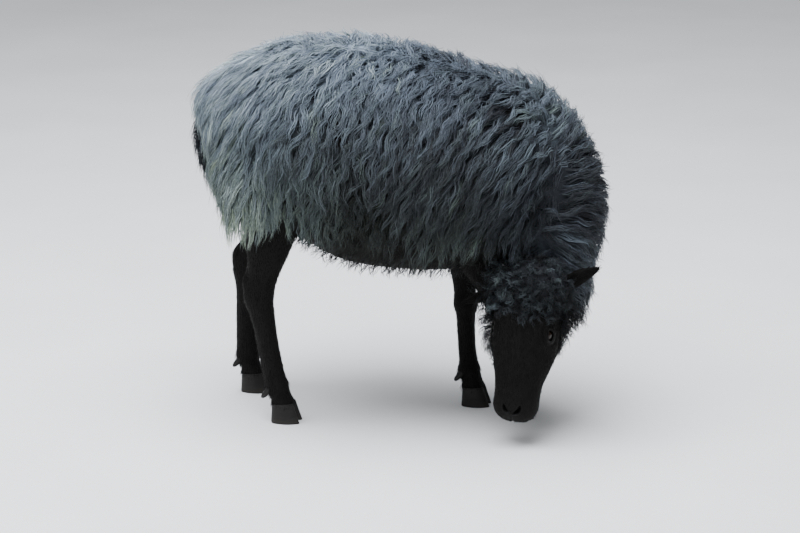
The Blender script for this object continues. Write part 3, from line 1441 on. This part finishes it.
# The pieces of the fleece, the strands in each of their locks and the rings of a strand
FLEECE_REGIONS = (
    ("rump_wool_right", 12, 6),
    ("rump_wool_left", 9, 6),
    ("flank_wool_right", 9, 9),
    ("flank_wool_left", 7, 8),
    ("shoulder_wool_right", 9, 9),
    ("shoulder_wool_left", 7, 8),
    ("neck_wool_right", 10, 6),
    ("neck_wool_left", 8, 6),
)
REGION_BORDERS = (-0.185, -0.015, 0.145)

# How far inside the head the wool of the neck may be rooted, the rings of a lock, how its length and height
# vary, and how far apart the groups are in which locks cling together
WOOL_IN_HEAD = 0.006
LOCK_RINGS = 12
LOCK_LENGTHS = (0.8, 1.15)
LOCK_LIFTS = (0.75, 1.1)
GATHER_SPACING = 0.027

# Between which places the wool changes: away from the tail, up, back and forward along the gaskins, and
# towards the ends of the rump and the chest
TAIL_TOP = (-0.345, 0.0, 0.530)
TAIL_REACHES = (0.03, 0.11)
GASKIN_HEIGHTS = (0.370, 0.450)
GASKIN_BACK = (0.11, 0.17)
GASKIN_FRONT = (-0.25, -0.19)
RUMP_END = (0.30, 0.35)
CHEST_END = (0.28, 0.35)

# The wool ends round the tail behind a place, within a half width and below a height
BESIDE_TAIL = (-0.290, 0.036, 0.580)


def pick(rows, keep):
    """The rows of each part of a tuple of arrays for which keep is true."""
    return type(rows)(*(part[keep] for part in rows))


def gathered(form, places, guides, kinds, lift, chance):
    """The locks drawn together in groups towards their tips, as neighbouring locks cling in a long coat."""
    rings = guides.centres.shape[1]
    centres, normals = scattered(form, GATHER_SPACING, chance, lambda _, normals: normals[:, 2] > UNDERSIDE)
    lifts = np.full(len(centres), lift)
    common = coat_at(centres)
    leaders = trace_locks(form, centres, normals, lie_of_wool, common, lifts, chance, rings)
    nearest = ((places[:, None] - centres[None]) ** 2).sum(axis=2).argmin(axis=1)
    share = np.linspace(0, 1, rings)[None, :, None]
    pull = kinds.gather[:, None, None] * share**1.4
    return guides._replace(centres=guides.centres + (leaders.centres[nearest] - guides.centres) * pull)


def region_of(places):
    """The number of the fleece region that each place is in."""
    return 2 * np.searchsorted(REGION_BORDERS, places[:, 0]) + (places[:, 1] > 0)


def unwrapped(places):
    """Each place on the body's skin laid flat: how far along the body and how far round it."""
    station, forwards, along = nearest_station(places)
    outwards = places - station[:, :3]
    left = np.array((0.0, 1.0, 0.0))
    up = np.cross(forwards, left)
    around = np.arctan2((outwards * left).sum(axis=1), (outwards * -up).sum(axis=1))
    inner = dot(outwards, forwards)[:, 0]
    return np.stack((along + inner, around), axis=1)


def short_woolled(places, normals):
    """Whether each place is under the body, where the wool is short; under the neck it is long."""
    return normals[:, 2] < np.where(places[:, 0] > NECK_BASE_X, NECK_UNDERSIDE, UNDERSIDE)


def over_tail(places):
    """Whether wool at a place would hang over the tail."""
    back, half_width, top = BESIDE_TAIL
    return (places[:, 0] < back) & (np.abs(places[:, 1]) < half_width) & (places[:, 2] < top)


def clear_of_face(guides):
    """Whether each lock stays out of the head and does not fall over the face."""
    tips = guides.centres[:, ROOTED_RINGS:]
    places = moved(tips.reshape(-1, 3), HEAD.inverted())
    depth, half_width = FACE_ROOM
    in_front = (places[:, 2] > -depth) & (np.abs(places[:, 1]) < half_width) & (places[:, 0] > 0.0)
    return ~in_front.reshape(tips.shape[:2]).any(axis=1)


# How many rings of a lock may lie in the face's room, and how deep and wide to each side that room is
ROOTED_RINGS = 3
FACE_ROOM = (0.085, 0.060)

# The deep crease where the wool parts as the neck bends, the way out of it and how wide it gapes, and between
# which distances from it the locks go from this share of their tone to all of it, and the felt from black
CREASE = ((0.196, -0.078, 0.598), (0.210, -0.086, 0.585), (0.226, -0.093, 0.569))
CREASE_FACING = (0.15, -0.65, 0.74)
CREASE_HALF_WIDTH = 0.0038
CREASE_TONE = 0.30
CREASE_SHADOW = (0.007, 0.020)
CREASE_FELT = (0.012, 0.024)

# How much locks vary in tone and warmth, how many are faded, and how much paler and warmer those are
TONE_SPREAD = 0.06
WARMTH_SPREAD = 0.10
FADED_SHARE = 0.06
FADED_TONE = 0.08
FADED_WARMTH = 0.35


def crease_gap(places):
    """How far places are to one side of the crease; depth below it counts less."""
    facing = unit(CREASE_FACING)
    offset = places[..., None, :] - smoothed(CREASE, 5)
    offset = offset - 0.6 * (offset @ facing)[..., None] * facing
    return np.linalg.norm(offset, axis=-1).min(axis=-1)


def lock_tones(places, kinds, chance):
    """The tone and warmth of each lock, with paler and browner locks scattered as in a weathered fleece."""
    count = len(places)
    tone = kinds.pale + chance.normal(0, TONE_SPREAD, count)
    warmth = kinds.warm + chance.normal(0, WARMTH_SPREAD, count)
    faded = chance.random(count) < FADED_SHARE
    return tone + faded * FADED_TONE, warmth + faded * FADED_WARMTH


def repeated(kind, count):
    """One kind of wool for each of a number of locks."""
    return Coat(*(np.full(count, value) for value in kind))


# The wool of the belly and of the tail, whose place and reach don't count, and for each how far apart the
# locks are, how far they stand off and the strands in each
BELLY_WOOL = Coat(0, 0, 1, 1, 0.030, 0.0030, 0.0022, 0.50, 0, 0.9, BELLY_PALE, 0.3)
BELLY_LOCKS = (0.0120, 0.006, 3)
TAIL_WOOL = Coat(0, 0, 1, 1, 0.062, 0.0020, 0.0, 0.50, 0, 0.16, TAIL_PALE, 0.1)
TAIL_LOCKS = (0.0046, 0.012, 4)
TAIL_WOOL_X = -0.322
TAIL_MIDDLE_X = -0.335


class EWE_OT_belly(bpy.types.Operator):
    """Grow the short black wool under the belly and chest, and the hair of the tail"""

    bl_idname = "ewe.belly"
    bl_label = "Belly and tail wool"

    def execute(self, context):
        settings = context.scene.ewe_wool
        chance = np.random.default_rng(settings.seed + 1)
        form = fleece_form(settings.lift)

        def under(places, normals):
            # The short wool reaches a little way up the flanks, under the long wool
            return short_woolled(places, normals - (0, 0, 0.25)) & (head_form().height(places) > 0.004)

        places, normals = scattered(form, BELLY_LOCKS[0], chance, under)
        roots = (form, places, normals, backwards)
        self.grow("belly_wool", roots, BELLY_WOOL, BELLY_LOCKS, chance, unwrapped(places))
        tail = tail_form()
        places, normals = scattered(tail, TAIL_LOCKS[0], chance, lambda places, _: places[:, 0] < TAIL_WOOL_X)
        roots = (tail, places, normals, hanging)
        turn = np.arctan2(places[:, 1], TAIL_MIDDLE_X - places[:, 0])
        self.grow("tail_wool", roots, TAIL_WOOL, TAIL_LOCKS, chance, np.stack((turn, places[:, 2]), axis=1))
        return {"FINISHED"}

    def grow(self, name, roots, kind, locks, chance, spots):
        """Grows one kind of wool from the given roots as one piece."""
        _, lift, per_lock = locks
        count = len(spots)
        kinds = repeated(kind, count)
        kinds = kinds._replace(length=kinds.length * chance.uniform(0.6, 1.15, count))
        guides = trace_locks(*roots, kinds, lift * chance.uniform(0.6, 1.2, count), chance, 8)
        strands = count * per_lock
        pale = np.clip(kind.pale + chance.normal(0, 0.03, strands), 0, 1)
        warm = np.clip(kind.warm + chance.normal(0, 0.1, strands), 0, 1)
        width = bpy.context.scene.ewe_wool.strand_width
        made = strands_of(guides, per_lock, kinds, width, 0.012, 5, chance, pale, warm, on_chart(spots))
        mesh_of_strands(name, made, wool_fibre())


def hanging(places, _):
    """Straight down at every place."""
    return np.tile((0.0, 0.0, -1.0), (len(places), 1))


def backwards(places, _):
    """Back and a little down at every place."""
    return np.tile((-1.0, 0.0, -0.4), (len(places), 1))


# The wool of the head in small curls: length along the skin, radius of the coil, height above the skin,
# turns, spacing, strands, rings of a strand, how pale they are, how far they stray and how wide they spread
Curls = namedtuple("Curls", "length radius rise turns spacing strands rings pale stray spread")
POLL_CURLS = Curls(0.021, 0.0040, 0.013, 1.5, 0.0066, 8, 8, 0.27, 1.1, 0.009)
CHEEK_CURLS = Curls(0.023, 0.0034, 0.016, 1.1, 0.0050, 6, 6, 0.06, 0.6, 0.012)

# How thick the wool of the cheeks is at places down the face
CHEEK_DOWN = (0.00, 0.05, 0.085, 0.12, 0.14, 0.165)
CHEEK_DEPTH = (1.0, 1.10, 0.95, 0.65, 0.45, 0.25)

# How strands wave, curl and run together within a ringlet
RINGLET = Coat(0, 0, 1, 1, 0, 0.0012, 0.0013, 0.3, 0, 0, 0, 0)

# How much larger the curls get on the right of the poll and of the cheek, and between which places across
RIGHT_POLL = 0.90
RIGHT_CHEEK = 0.65
RIGHT_OF_HEAD = (0.025, 0.055)

# The wool of the poll in the face's frame: its middle and how far it reaches, and how far down the forehead
POLL_WOOL_CENTRE = (0.022, 0.0, -0.044)
POLL_WOOL_RADII = (0.068, 0.070, 0.062)
HAIRLINE = 0.080

# How far along the left and the right ear the wool reaches
WOOLLY_EARS = (0.30, 0.62)

# The wool of the left and the right cheek: how far behind the front line it starts, how fast that edge slants
# back down the face below the poll, and how far down it grows
CHEEK_EDGES = ((-0.034, 0.45, 0.135), (-0.024, 0.20, 0.165))
CHEEK_TOP = 0.045


class EWE_OT_head_wool(bpy.types.Operator):
    """Curl the dense wool of the poll and the fringe of the cheeks"""

    bl_idname = "ewe.head_wool"
    bl_label = "Topknot and cheek wool"

    def execute(self, context):
        self.grow("topknot_wool", POLL_CURLS, on_poll, context.scene.ewe_wool)
        self.grow("cheek_wool", CHEEK_CURLS, on_cheek, context.scene.ewe_wool)
        return {"FINISHED"}

    def grow(self, name, curls, allowed, settings):
        """Grows one kind of curls over part of the head as one piece."""
        chance = np.random.default_rng(settings.seed + len(name))
        roots, normals = scattered(head_form(), curls.spacing, chance, allowed)
        places = moved(roots, HEAD.inverted())
        # The wool is thickest on the right of the head, which she holds lower
        right = ramp(-places[:, 1], *RIGHT_OF_HEAD)
        size = 1 + RIGHT_POLL * right
        if allowed is on_cheek:
            size = (1 + RIGHT_CHEEK * right) * np.interp(places[:, 0], CHEEK_DOWN, CHEEK_DEPTH)
        guides, kinds = ringlets(roots, normals, size, curls, chance)
        lock = np.repeat(np.arange(len(roots)), curls.strands)
        # The curls on the right of the poll, where the sun has bleached them, are the palest
        bleached = 1 + 0.4 * ramp(-places[:, 1], 0.0, 0.05)
        tone = curls.pale * bleached * chance.gamma(7.0, 1 / 7.0, len(roots))
        pale = np.clip(tone[lock] + chance.normal(0, 0.05, len(lock)), 0, 1)
        warm = np.clip(chance.normal(0.50, 0.15, len(lock)), 0, 1)
        spot = on_chart(np.stack((round_head(places), places[:, 0]), axis=1))
        width = 0.8 * settings.strand_width
        made = strands_of(
            guides, curls.strands, kinds, width, curls.spread, curls.rings, chance, pale, warm, spot
        )
        mesh_of_strands(name, made, wool_fibre())


def round_head(local):
    """The turn of places in the face's frame round a line through the middle of the head."""
    return np.arctan2(local[:, 1], local[:, 2] + 0.060)


def on_poll(places, _=None):
    """Whether each place is on the felted wool of the poll or on the forehead just below it."""
    local = moved(places, HEAD.inverted())
    near = np.linalg.norm((local - POLL_WOOL_CENTRE) / POLL_WOOL_RADII, axis=1)
    return (near < 1.0) & (local[:, 0] < HAIRLINE - 6 * local[:, 1] ** 2) & off_ears(local)


def off_ears(local):
    """Whether places in the face's frame are where the wool of the head grows: it reaches a little way along
    the left ear and further along the lower, right one."""
    return ear_share(local) < np.where(local[:, 1] < 0, WOOLLY_EARS[1], WOOLLY_EARS[0])


def on_cheek(places, _=None):
    """Whether each place is on a cheek or behind the jaw, clear of the ear and the face."""
    local = moved(places, HEAD.inverted())
    below = np.maximum(local[:, 0] - CHEEK_TOP, 0)
    edge, slant, lowest = np.array(CHEEK_EDGES)[(local[:, 1] < 0).astype(int)].T
    beside = (local[:, 2] < edge - slant * below) & (local[:, 0] < lowest)
    return beside & ~on_poll(places) & off_ears(local)


def ringlets(roots, normals, size, curls, chance, steps=13):
    """The middle lines of short ringlets of a size each, that lie mostly down the face."""
    count = len(roots)
    down = DOWN_FACE + np.array((0.0, 0.0, -0.3))
    heading = tangent(np.tile(down, (count, 1)), normals)
    heading = spun(heading, normals, chance.normal(0, curls.stray, count))
    side = np.cross(normals, heading)
    length = curls.length * (np.minimum(size, 1.25) * chance.uniform(0.7, 1.25, count))[:, None]
    radius = curls.radius * chance.uniform(0.6, 1.2, count)[:, None]
    turns = curls.turns * chance.uniform(0.6, 1.3, count)[:, None]
    turns = turns * chance.choice((-1, 1), count)[:, None]
    start = chance.uniform(0, math.tau, count)[:, None]
    rise = curls.rise * (size * chance.uniform(0.5, 1.15, count))[:, None]
    rows = []
    for i in range(steps):
        share = i / (steps - 1)
        angle = start + math.tau * turns * share
        opened = radius * min(1.0, 3 * share)
        middle = roots + heading * length * share + normals * (rise * (1 - (1 - share) ** 2) - 0.002)
        centre = middle + side * opened * np.cos(angle) + normals * opened * 0.8 * (np.sin(angle) + 0.3)
        out = unit(side * np.cos(angle) + normals * np.sin(angle))
        across = unit(np.cross(out, heading))
        rows.append((centre, across, out, heading))
    return Guides(*(np.stack(part, axis=1) for part in zip(*rows))), repeated(RINGLET, count)


# Short hair: how far apart its tufts are on the legs and on the head, how high up the legs and how far under
# the fleece it goes, its length on the ears, and how brown its tips are and how much they vary
LEG_TUFTS = 0.0033
HEAD_TUFTS = 0.0023
LEG_HAIR_TOP = 0.42
HAIR_UNDER_WOOL = 0.006
EAR_HAIR_LENGTH = 0.0068
HAIR_TONE = (0.35, 0.25)

# The lashes of each upper lid
LASHES = 24
LASH_LENGTH = 0.0085
LASH_WIDTH = 0.0006


class EWE_OT_short_hair(bpy.types.Operator):
    """Lay the short hair of the face, ears and legs"""

    bl_idname = "ewe.short_hair"
    bl_label = "Short hair"

    def execute(self, context):
        settings = context.scene.ewe_hair
        chance = np.random.default_rng(settings.seed)
        self.cover_legs(settings, chance)
        self.cover_head(settings, chance)
        self.add_lashes(settings, chance)
        return {"FINISHED"}

    def add_lashes(self, settings, chance):
        """Lashes along the edge of each upper lid, fanned out and bent upwards."""
        share = np.tile(np.linspace(-0.8, 0.8, LASHES), 2)
        side = np.repeat((-1.0, 1.0), LASHES)
        edge = almond(share)[0] + 0.0008
        local = np.stack((EYE_OPENING[0] * share, side * (EYE_RADIUS + 0.0016), edge), axis=1)
        out = np.stack((0.5 * share, side, 0.45 + 0 * share), axis=1)
        places, headings = np.empty_like(local), np.empty_like(out)
        for way in (-1, 1):
            mine = side == way
            places[mine] = moved(local[mine], eye_frame(way))
            headings[mine] = unit(out[mine] @ np.array(eye_frame(way))[:3, :3].T)
        roots, _ = head_form().nearest(places)
        shares = np.linspace(0, 1, 6)[None, :, None]
        length = (LASH_LENGTH * chance.uniform(0.75, 1.1, len(share)))[:, None, None]
        up = -DOWN_FACE + OUT_OF_FACE
        centres = roots[:, None] + headings[:, None] * length * shares + up * length * 0.3 * shares**2
        across = np.broadcast_to(unit(np.cross(headings, up))[:, None], centres.shape)
        facing = np.cross(across, headings[:, None])
        widths = LASH_WIDTH * (1 - shares[..., 0]) * np.ones((len(share), 1))
        spots = on_chart(np.stack((side, share), axis=1))
        tone = np.zeros(len(share))
        lashes = Strands(centres, across, facing, widths, tone, tone, spots)
        mesh_of_strands("lash_hair", lashes, short_hair(), flat=1.0)

    def cover_legs(self, settings, chance):
        """Hair down the legs, longer behind the fetlocks and over the coronets."""
        fleece = fleece_form(bpy.context.scene.ewe_wool.lift)

        def shown(places, normals):
            on_leg = (places[:, 2] < LEG_HAIR_TOP) & (places[:, 2] > CORONET_HEIGHT)
            return on_leg & (fleece.height(places) > -0.004)

        places, normals = scattered(legs_form(), LEG_TUFTS, chance, shown)
        length = settings.leg_length * chance.uniform(0.7, 1.3, len(places))
        behind = ramp(-normals[:, 0], 0.2, 0.9) * swell(places[:, 2] - 0.062, 1.0, 0.020)
        length = length * (1 + 0.8 * behind)
        leg = 2 * (places[:, 0] < 0) + (places[:, 1] > 0.04)
        turn = np.arctan2(normals[:, 1], normals[:, 0])
        spots = charted(np.stack((turn, places[:, 2]), axis=1), leg, 4)
        lie = tangent(np.tile((-0.15, 0.0, -1.0), (len(places), 1)), normals)
        self.lay("leg_hair", settings, places, normals, lie, length, spots, chance)

    def cover_head(self, settings, chance):
        """Hair down the face, longest on the cheeks and shortest on the muzzle, and along the ears."""
        fleece = fleece_form(bpy.context.scene.ewe_wool.lift)

        def shown(places, normals):
            local = moved(places, HEAD.inverted())
            offset = np.linalg.norm((local - TOPKNOT_CENTRE) / TOPKNOT_RADII, axis=1)
            haired = (bare_share(places) < 0.35) & (offset > 1.0)
            return haired & (fleece.height(places) > -HAIR_UNDER_WOOL)

        roots, facing = scattered(head_form(), HEAD_TUFTS, chance, shown)
        shares = ear_share(moved(roots, HEAD.inverted()))
        places, normals = roots[shares < 0], facing[shares < 0]
        local = moved(places, HEAD.inverted())
        along = local[:, 0]
        cheek = ramp(-local[:, 2], 0.03, 0.09) * (1 - ramp(along, 0.15, 0.20))
        length = settings.face_length * (1 + 0.4 * cheek - 0.45 * ramp(along, 0.17, 0.24))
        length = length * chance.uniform(0.75, 1.25, len(places))
        sideways = ACROSS_FACE * np.sign(local[:, 1:2]) * 0.35
        lie = tangent(DOWN_FACE + sideways * (1 - ramp(along, 0.0, 0.2))[:, None], normals)
        spots = on_chart(np.stack((round_head(local), along), axis=1))
        self.lay("face_hair", settings, places, normals, lie, length, spots, chance)

        on_ear = shares >= 0
        places, normals, shares = roots[on_ear], facing[on_ear], shares[on_ear]
        which = (moved(places, HEAD.inverted())[:, 1] < 0).astype(int)
        starts, tips = (moved(np.array([ear[end] for ear in EARS]), HEAD) for end in (0, 1))
        lie = tangent(unit(tips - starts)[which], normals)
        length = EAR_HAIR_LENGTH * chance.uniform(0.7, 1.3, len(places))
        turn = np.arctan2(normals[:, 2], normals[:, 1])
        spots = charted(np.stack((turn, shares), axis=1), which, 2)
        self.lay("ear_hair", settings, places, normals, lie, length, spots, chance)

    def lay(self, name, settings, places, normals, lie, length, spots, chance):
        """Lays flat tufts of hair, each rising a little off the skin towards its tip."""
        count = len(places)
        lie = spun(lie, normals, chance.normal(0, 0.16, count))
        side = np.cross(normals, lie)
        rise = length * chance.uniform(0.08, 0.24, count)
        shares = np.array((0.0, 0.5, 1.0))[None, :, None]
        heights = -0.0006 + (rise[:, None, None] + 0.0006) * shares**0.8
        bend = side[:, None] * (chance.normal(0, 0.08, count) * length)[:, None, None] * shares**2
        centres = places[:, None] + lie[:, None] * length[:, None, None] * shares
        centres = centres + normals[:, None] * heights + bend
        rings = len(shares[0])
        profile = np.array((0.9, 1.0, 0.0))[None, :]
        widths = settings.width * chance.uniform(0.7, 1.2, count)[:, None] * profile
        across = np.repeat(side[:, None], rings, axis=1)
        facing = np.repeat(normals[:, None], rings, axis=1)
        tone = np.clip(chance.normal(*HAIR_TONE, count), 0, 1)
        made = Strands(centres, across, facing, widths, tone, tone, spots)
        mesh_of_strands(name, made, short_hair(), flat=0.35)


def ear_share(local):
    """How far along an ear each place in the face's frame is, or -1 off the ears."""
    best = np.full(len(local), -1.0)
    for root, tip, _ in EARS:
        root, tip = np.array(root), np.array(tip)
        way = tip - root
        share = (local - root) @ way / (way @ way)
        off = np.linalg.norm(local - root - share[:, None] * way, axis=1)
        best = np.where((share > 0.12) & (share < 1.1) & (off < 0.026), share, best)
    return best


# As shares of the ball's radius: the ball itself, how far the cornea bulges and reaches, the pupil's half
# height, and where the iris passes into its dark ring
BALL_SHARE = 0.975
CORNEA_BULGE = 0.03
CORNEA_REACH = 0.42
PUPIL_HALF_HEIGHT = 0.16
IRIS_EDGE = (0.62, 0.80)


class EWE_OT_eyes(bpy.types.Operator):
    """Set the two eyes behind their lids"""

    bl_idname = "ewe.eyes"
    bl_label = "Eyes"

    def execute(self, context):
        for side, name in ((-1, "eye_right"), (1, "eye_left")):
            points, faces = ball((0, 0, 0), (1, 1, 1), 64, 48)
            off_axis = np.hypot(points[:, 0], points[:, 2]) / CORNEA_REACH
            bulge = np.exp(-(off_axis**4)) * (points[:, 1] * side > 0)
            shaped = points * (EYE_RADIUS * (BALL_SHARE + CORNEA_BULGE * bulge))[:, None]
            eye = object_of(name + "_ball", [carried((shaped, faces), eye_frame(side))])
            attribute_of(eye.data, "gaze", (points[:, 0], points[:, 1] * side, points[:, 2]))
            eye.data.shade_smooth()
            eye.data.materials.append(moist_eye())
            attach(eye, BODY)
            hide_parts(name)
        return {"FINISHED"}


@functools.cache
def moist_eye():
    """A living eye: a clear wet film over a brown iris, dark with one sharp glint. With her head down she
    rolls her eyes to keep the pupils level with the ground, so they lie square to the lids."""
    settings = bpy.context.scene.ewe_eyes
    material, tree, shader = new_material("moist eye", Roughness=0.05, IOR=1.38, Specular_IOR_Level=0.35)
    read = add_node(tree, "Attribute", {"attribute_name": "gaze"})
    parts = add_node(tree, "SeparateXYZ", links={0: read.outputs["Vector"]})
    upward, _, sideways = parts.outputs
    divide = {"operation": "DIVIDE"}
    across = add_node(tree, "Math", {**divide, 1: settings.pupil_width}, {0: sideways})
    up = add_node(tree, "Math", {**divide, 1: PUPIL_HALF_HEIGHT}, {0: upward})
    flat = add_node(tree, "CombineXYZ", links={0: across.outputs[0], 1: up.outputs[0]})
    pupil = add_node(tree, "VectorMath", {"operation": "LENGTH"}, {0: flat.outputs[0]})
    disc = add_node(tree, "CombineXYZ", links={0: upward, 1: sideways})
    out = add_node(tree, "VectorMath", {"operation": "LENGTH"}, {0: disc.outputs[0]})
    # The fibres of the iris are about 0.7 mm across; this scale is measured in the ball's radius
    fine = {"Scale": 18.0, "Detail": 4.0}
    fibres = add_node(tree, "TexNoise", fine, {"Vector": read.outputs["Vector"]})
    dim = tuple(0.35 * part for part in settings.iris)
    iris = colour_ramp(tree, fibres.outputs["Fac"], ((0.3, dim), (0.7, tuple(settings.iris))))
    edge = {"From Min": IRIS_EDGE[0], "From Max": IRIS_EDGE[1]}
    ring = add_node(tree, "MapRange", edge, {"Value": out.outputs["Value"]})
    edge = {"From Min": 1.0, "From Max": 0.8}
    hole = add_node(tree, "MapRange", edge, {"Value": pupil.outputs["Value"]})
    both = {0: ring.outputs[0], 1: hole.outputs[0]}
    dark = add_node(tree, "Math", {"operation": "MAXIMUM"}, both)
    mix = add_node(tree, "Mix", {"data_type": "RGBA"}, {0: dark.outputs[0], 6: iris})
    mix.inputs[7].default_value = (*settings.rim, 1.0)
    tree.links.new(mix.outputs[2], shader.inputs["Base Color"])
    return material


class EWE_OT_hooves(bpy.types.Operator):
    """Make the claws and dewclaws of the four feet"""

    bl_idname = "ewe.hooves"
    bl_label = "Hooves"

    def execute(self, context):
        for leg in FORELEGS + HINDLEGS:
            for side in (-1, 1):
                place = "outer" if side == leg.outer else "inner"
                self.add(f"claw_{leg.name}_{place}", claw_form(leg, side))
                self.add(f"dewclaw_{leg.name}_{place}", dewclaw_form(leg, side))
        return {"FINISHED"}

    def add(self, node, form):
        """Adds one piece of horn in the place of its node."""
        horn = object_of(node + "_horn", [form])
        horn.data.shade_smooth()
        horn.data.set_sharp_from_angle(angle=math.radians(50))
        horn.data.materials.append(hoof_horn())
        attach(horn, BODY)
        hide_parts(node)


def claw_form(leg, side):
    """One claw: pointed in front, flat on the ground with a rounded edge, and ringed where it grew."""
    middle = leg.foot[1] + side * (CLAW_WIDTH + CLEFT_WIDTH) / 2
    angle = math.tau * (np.arange(CLAW_SIDES) + 0.5) / CLAW_SIDES
    loops = []
    for z in np.append((0.0, 0.0006, CLAW_EDGE_HEIGHT), np.linspace(0.004, CORONET_HEIGHT + 0.003, 26)):
        share = z / CORONET_HEIGHT
        edge = CLAW_EDGE * (1 - min(z / CLAW_EDGE_HEIGHT, 1.0)) ** 2
        ridge = RIDGE_DEPTH * math.sin(z * RIDGE_RATE) * min(z / 0.006, 1.0)
        wide = CLAW_WIDTH / 2 + 0.0006 * math.sin(math.pi * min(share, 1)) - 0.0008 * share - edge + ridge
        long = CLAW_LENGTH / 2 - 0.0065 * share - edge + ridge
        narrow = 1 - 0.46 * np.maximum(np.cos(angle), 0) ** 2
        # The wall between the claws is flatter than the outer one
        flat = np.where(np.sin(angle) * side < 0, 0.86, 1.0)
        x = leg.foot[0] - 0.005 * share + long * np.cos(angle)
        y = middle + wide * np.sin(angle) * narrow * flat
        heel = 0.004 * np.maximum(-np.cos(angle), 0) * max(share - 0.6, 0)
        loops.append(np.stack((x, y, z - heel), axis=1))
    return tube(np.array(loops))


def dewclaw_form(leg, side):
    """One of the two small claws behind the fetlock."""
    fetlock = np.array(leg.path[3])
    root = fetlock + (-0.010, side * 0.009, -0.004)
    tip = fetlock + (-0.025, side * 0.0125, -0.021)
    sizes = ((0.0, 0.0072, 0.0060), (0.6, 0.0066, 0.0052), (0.88, 0.0046, 0.0036), (1.0, 0.0016, 0.0013))
    rings = [(*(root + (tip - root) * share), wide, high) for share, wide, high in sizes]
    return loft(smoothed(rings, 5), 24)


@functools.cache
def hoof_horn():
    """Hoof horn: dark layered keratin, ringed as it grew and worn pale and dusty towards the ground."""
    settings = bpy.context.scene.ewe_hooves
    material, tree, shader = new_material("hoof horn", Roughness=0.48, IOR=1.54, Specular_IOR_Level=0.2)
    place = add_node(tree, "TexCoord").outputs["Object"]
    parts = add_node(tree, "SeparateXYZ", links={0: place})
    # Growth rings: uneven bands 1 to 3 mm high that run round the claw
    per_metre = (60.0, 60.0, 900.0)
    stretched = add_node(tree, "Mapping", {"Scale": per_metre}, {"Vector": place}).outputs[0]
    rings = add_node(tree, "TexNoise", {"Scale": 1.0, "Detail": 5.0}, {"Vector": stretched})
    low = {"From Min": 0.016, "From Max": 0.0, "To Max": 0.75}
    worn = add_node(tree, "MapRange", low, {"Value": parts.outputs[2]})
    both = {0: worn.outputs[0], 1: rings.outputs["Fac"]}
    mixed = add_node(tree, "Math", {"operation": "MULTIPLY"}, both)
    pale = add_node(tree, "Math", {"operation": "MULTIPLY_ADD", 1: 0.35}, {0: rings.outputs["Fac"]})
    tree.links.new(mixed.outputs[0], pale.inputs[2])
    stops = ((0.15, tuple(settings.horn)), (0.85, tuple(settings.worn)))
    tree.links.new(colour_ramp(tree, pale.outputs[0], stops), shader.inputs["Base Color"])
    relief = {"Strength": 0.5, "Distance": 0.0005}
    bump = add_node(tree, "Bump", relief, {"Height": rings.outputs["Fac"]})
    tree.links.new(bump.outputs[0], shader.inputs["Normal"])
    return material


class EWE_PT_panel(bpy.types.Panel):
    """The steps that make the ewe, in order"""

    bl_idname = "EWE_PT_panel"
    bl_label = "Grazing ewe"
    bl_space_type = "VIEW_3D"
    bl_region_type = "UI"
    bl_category = "Ewe"

    def draw(self, context):
        for operator in OPERATORS:
            self.layout.operator(operator.bl_idname)
        for name in SETTINGS:
            group = getattr(context.scene, name)
            box = self.layout.box()
            for setting in group.bl_rna.properties.keys():
                if setting not in ("rna_type", "name"):
                    box.prop(group, setting)


OPERATORS = (
    EWE_OT_stage,
    EWE_OT_skin,
    EWE_OT_eyes,
    EWE_OT_hooves,
    EWE_OT_fleece,
    EWE_OT_belly,
    EWE_OT_head_wool,
    EWE_OT_short_hair,
)
SETTINGS = {
    "ewe_wool": WoolSettings,
    "ewe_hair": HairSettings,
    "ewe_eyes": EyeSettings,
    "ewe_hooves": HoofSettings,
    "ewe_stage": StageSettings,
}


def register():
    """Registers the settings, the operators and the panel."""
    for name, group in SETTINGS.items():
        bpy.utils.register_class(group)
        setattr(bpy.types.Scene, name, bpy.props.PointerProperty(type=group))
    for made in (*OPERATORS, EWE_PT_panel):
        bpy.utils.register_class(made)


def unregister():
    """Takes them all away again."""
    for made in (EWE_PT_panel, *OPERATORS[::-1]):
        bpy.utils.unregister_class(made)
    for name, group in SETTINGS.items():
        delattr(bpy.types.Scene, name)
        bpy.utils.unregister_class(group)


def main():
    """Makes the whole ewe on her stage, and writes how large the solids and the visible model are."""
    register()
    bpy.ops.ewe.stage()
    bpy.ops.ewe.skin()
    bpy.ops.ewe.eyes()
    bpy.ops.ewe.hooves()
    bpy.ops.ewe.fleece()
    bpy.ops.ewe.belly()
    bpy.ops.ewe.head_wool()
    bpy.ops.ewe.short_hair()


if __name__ == "__main__":
    main()
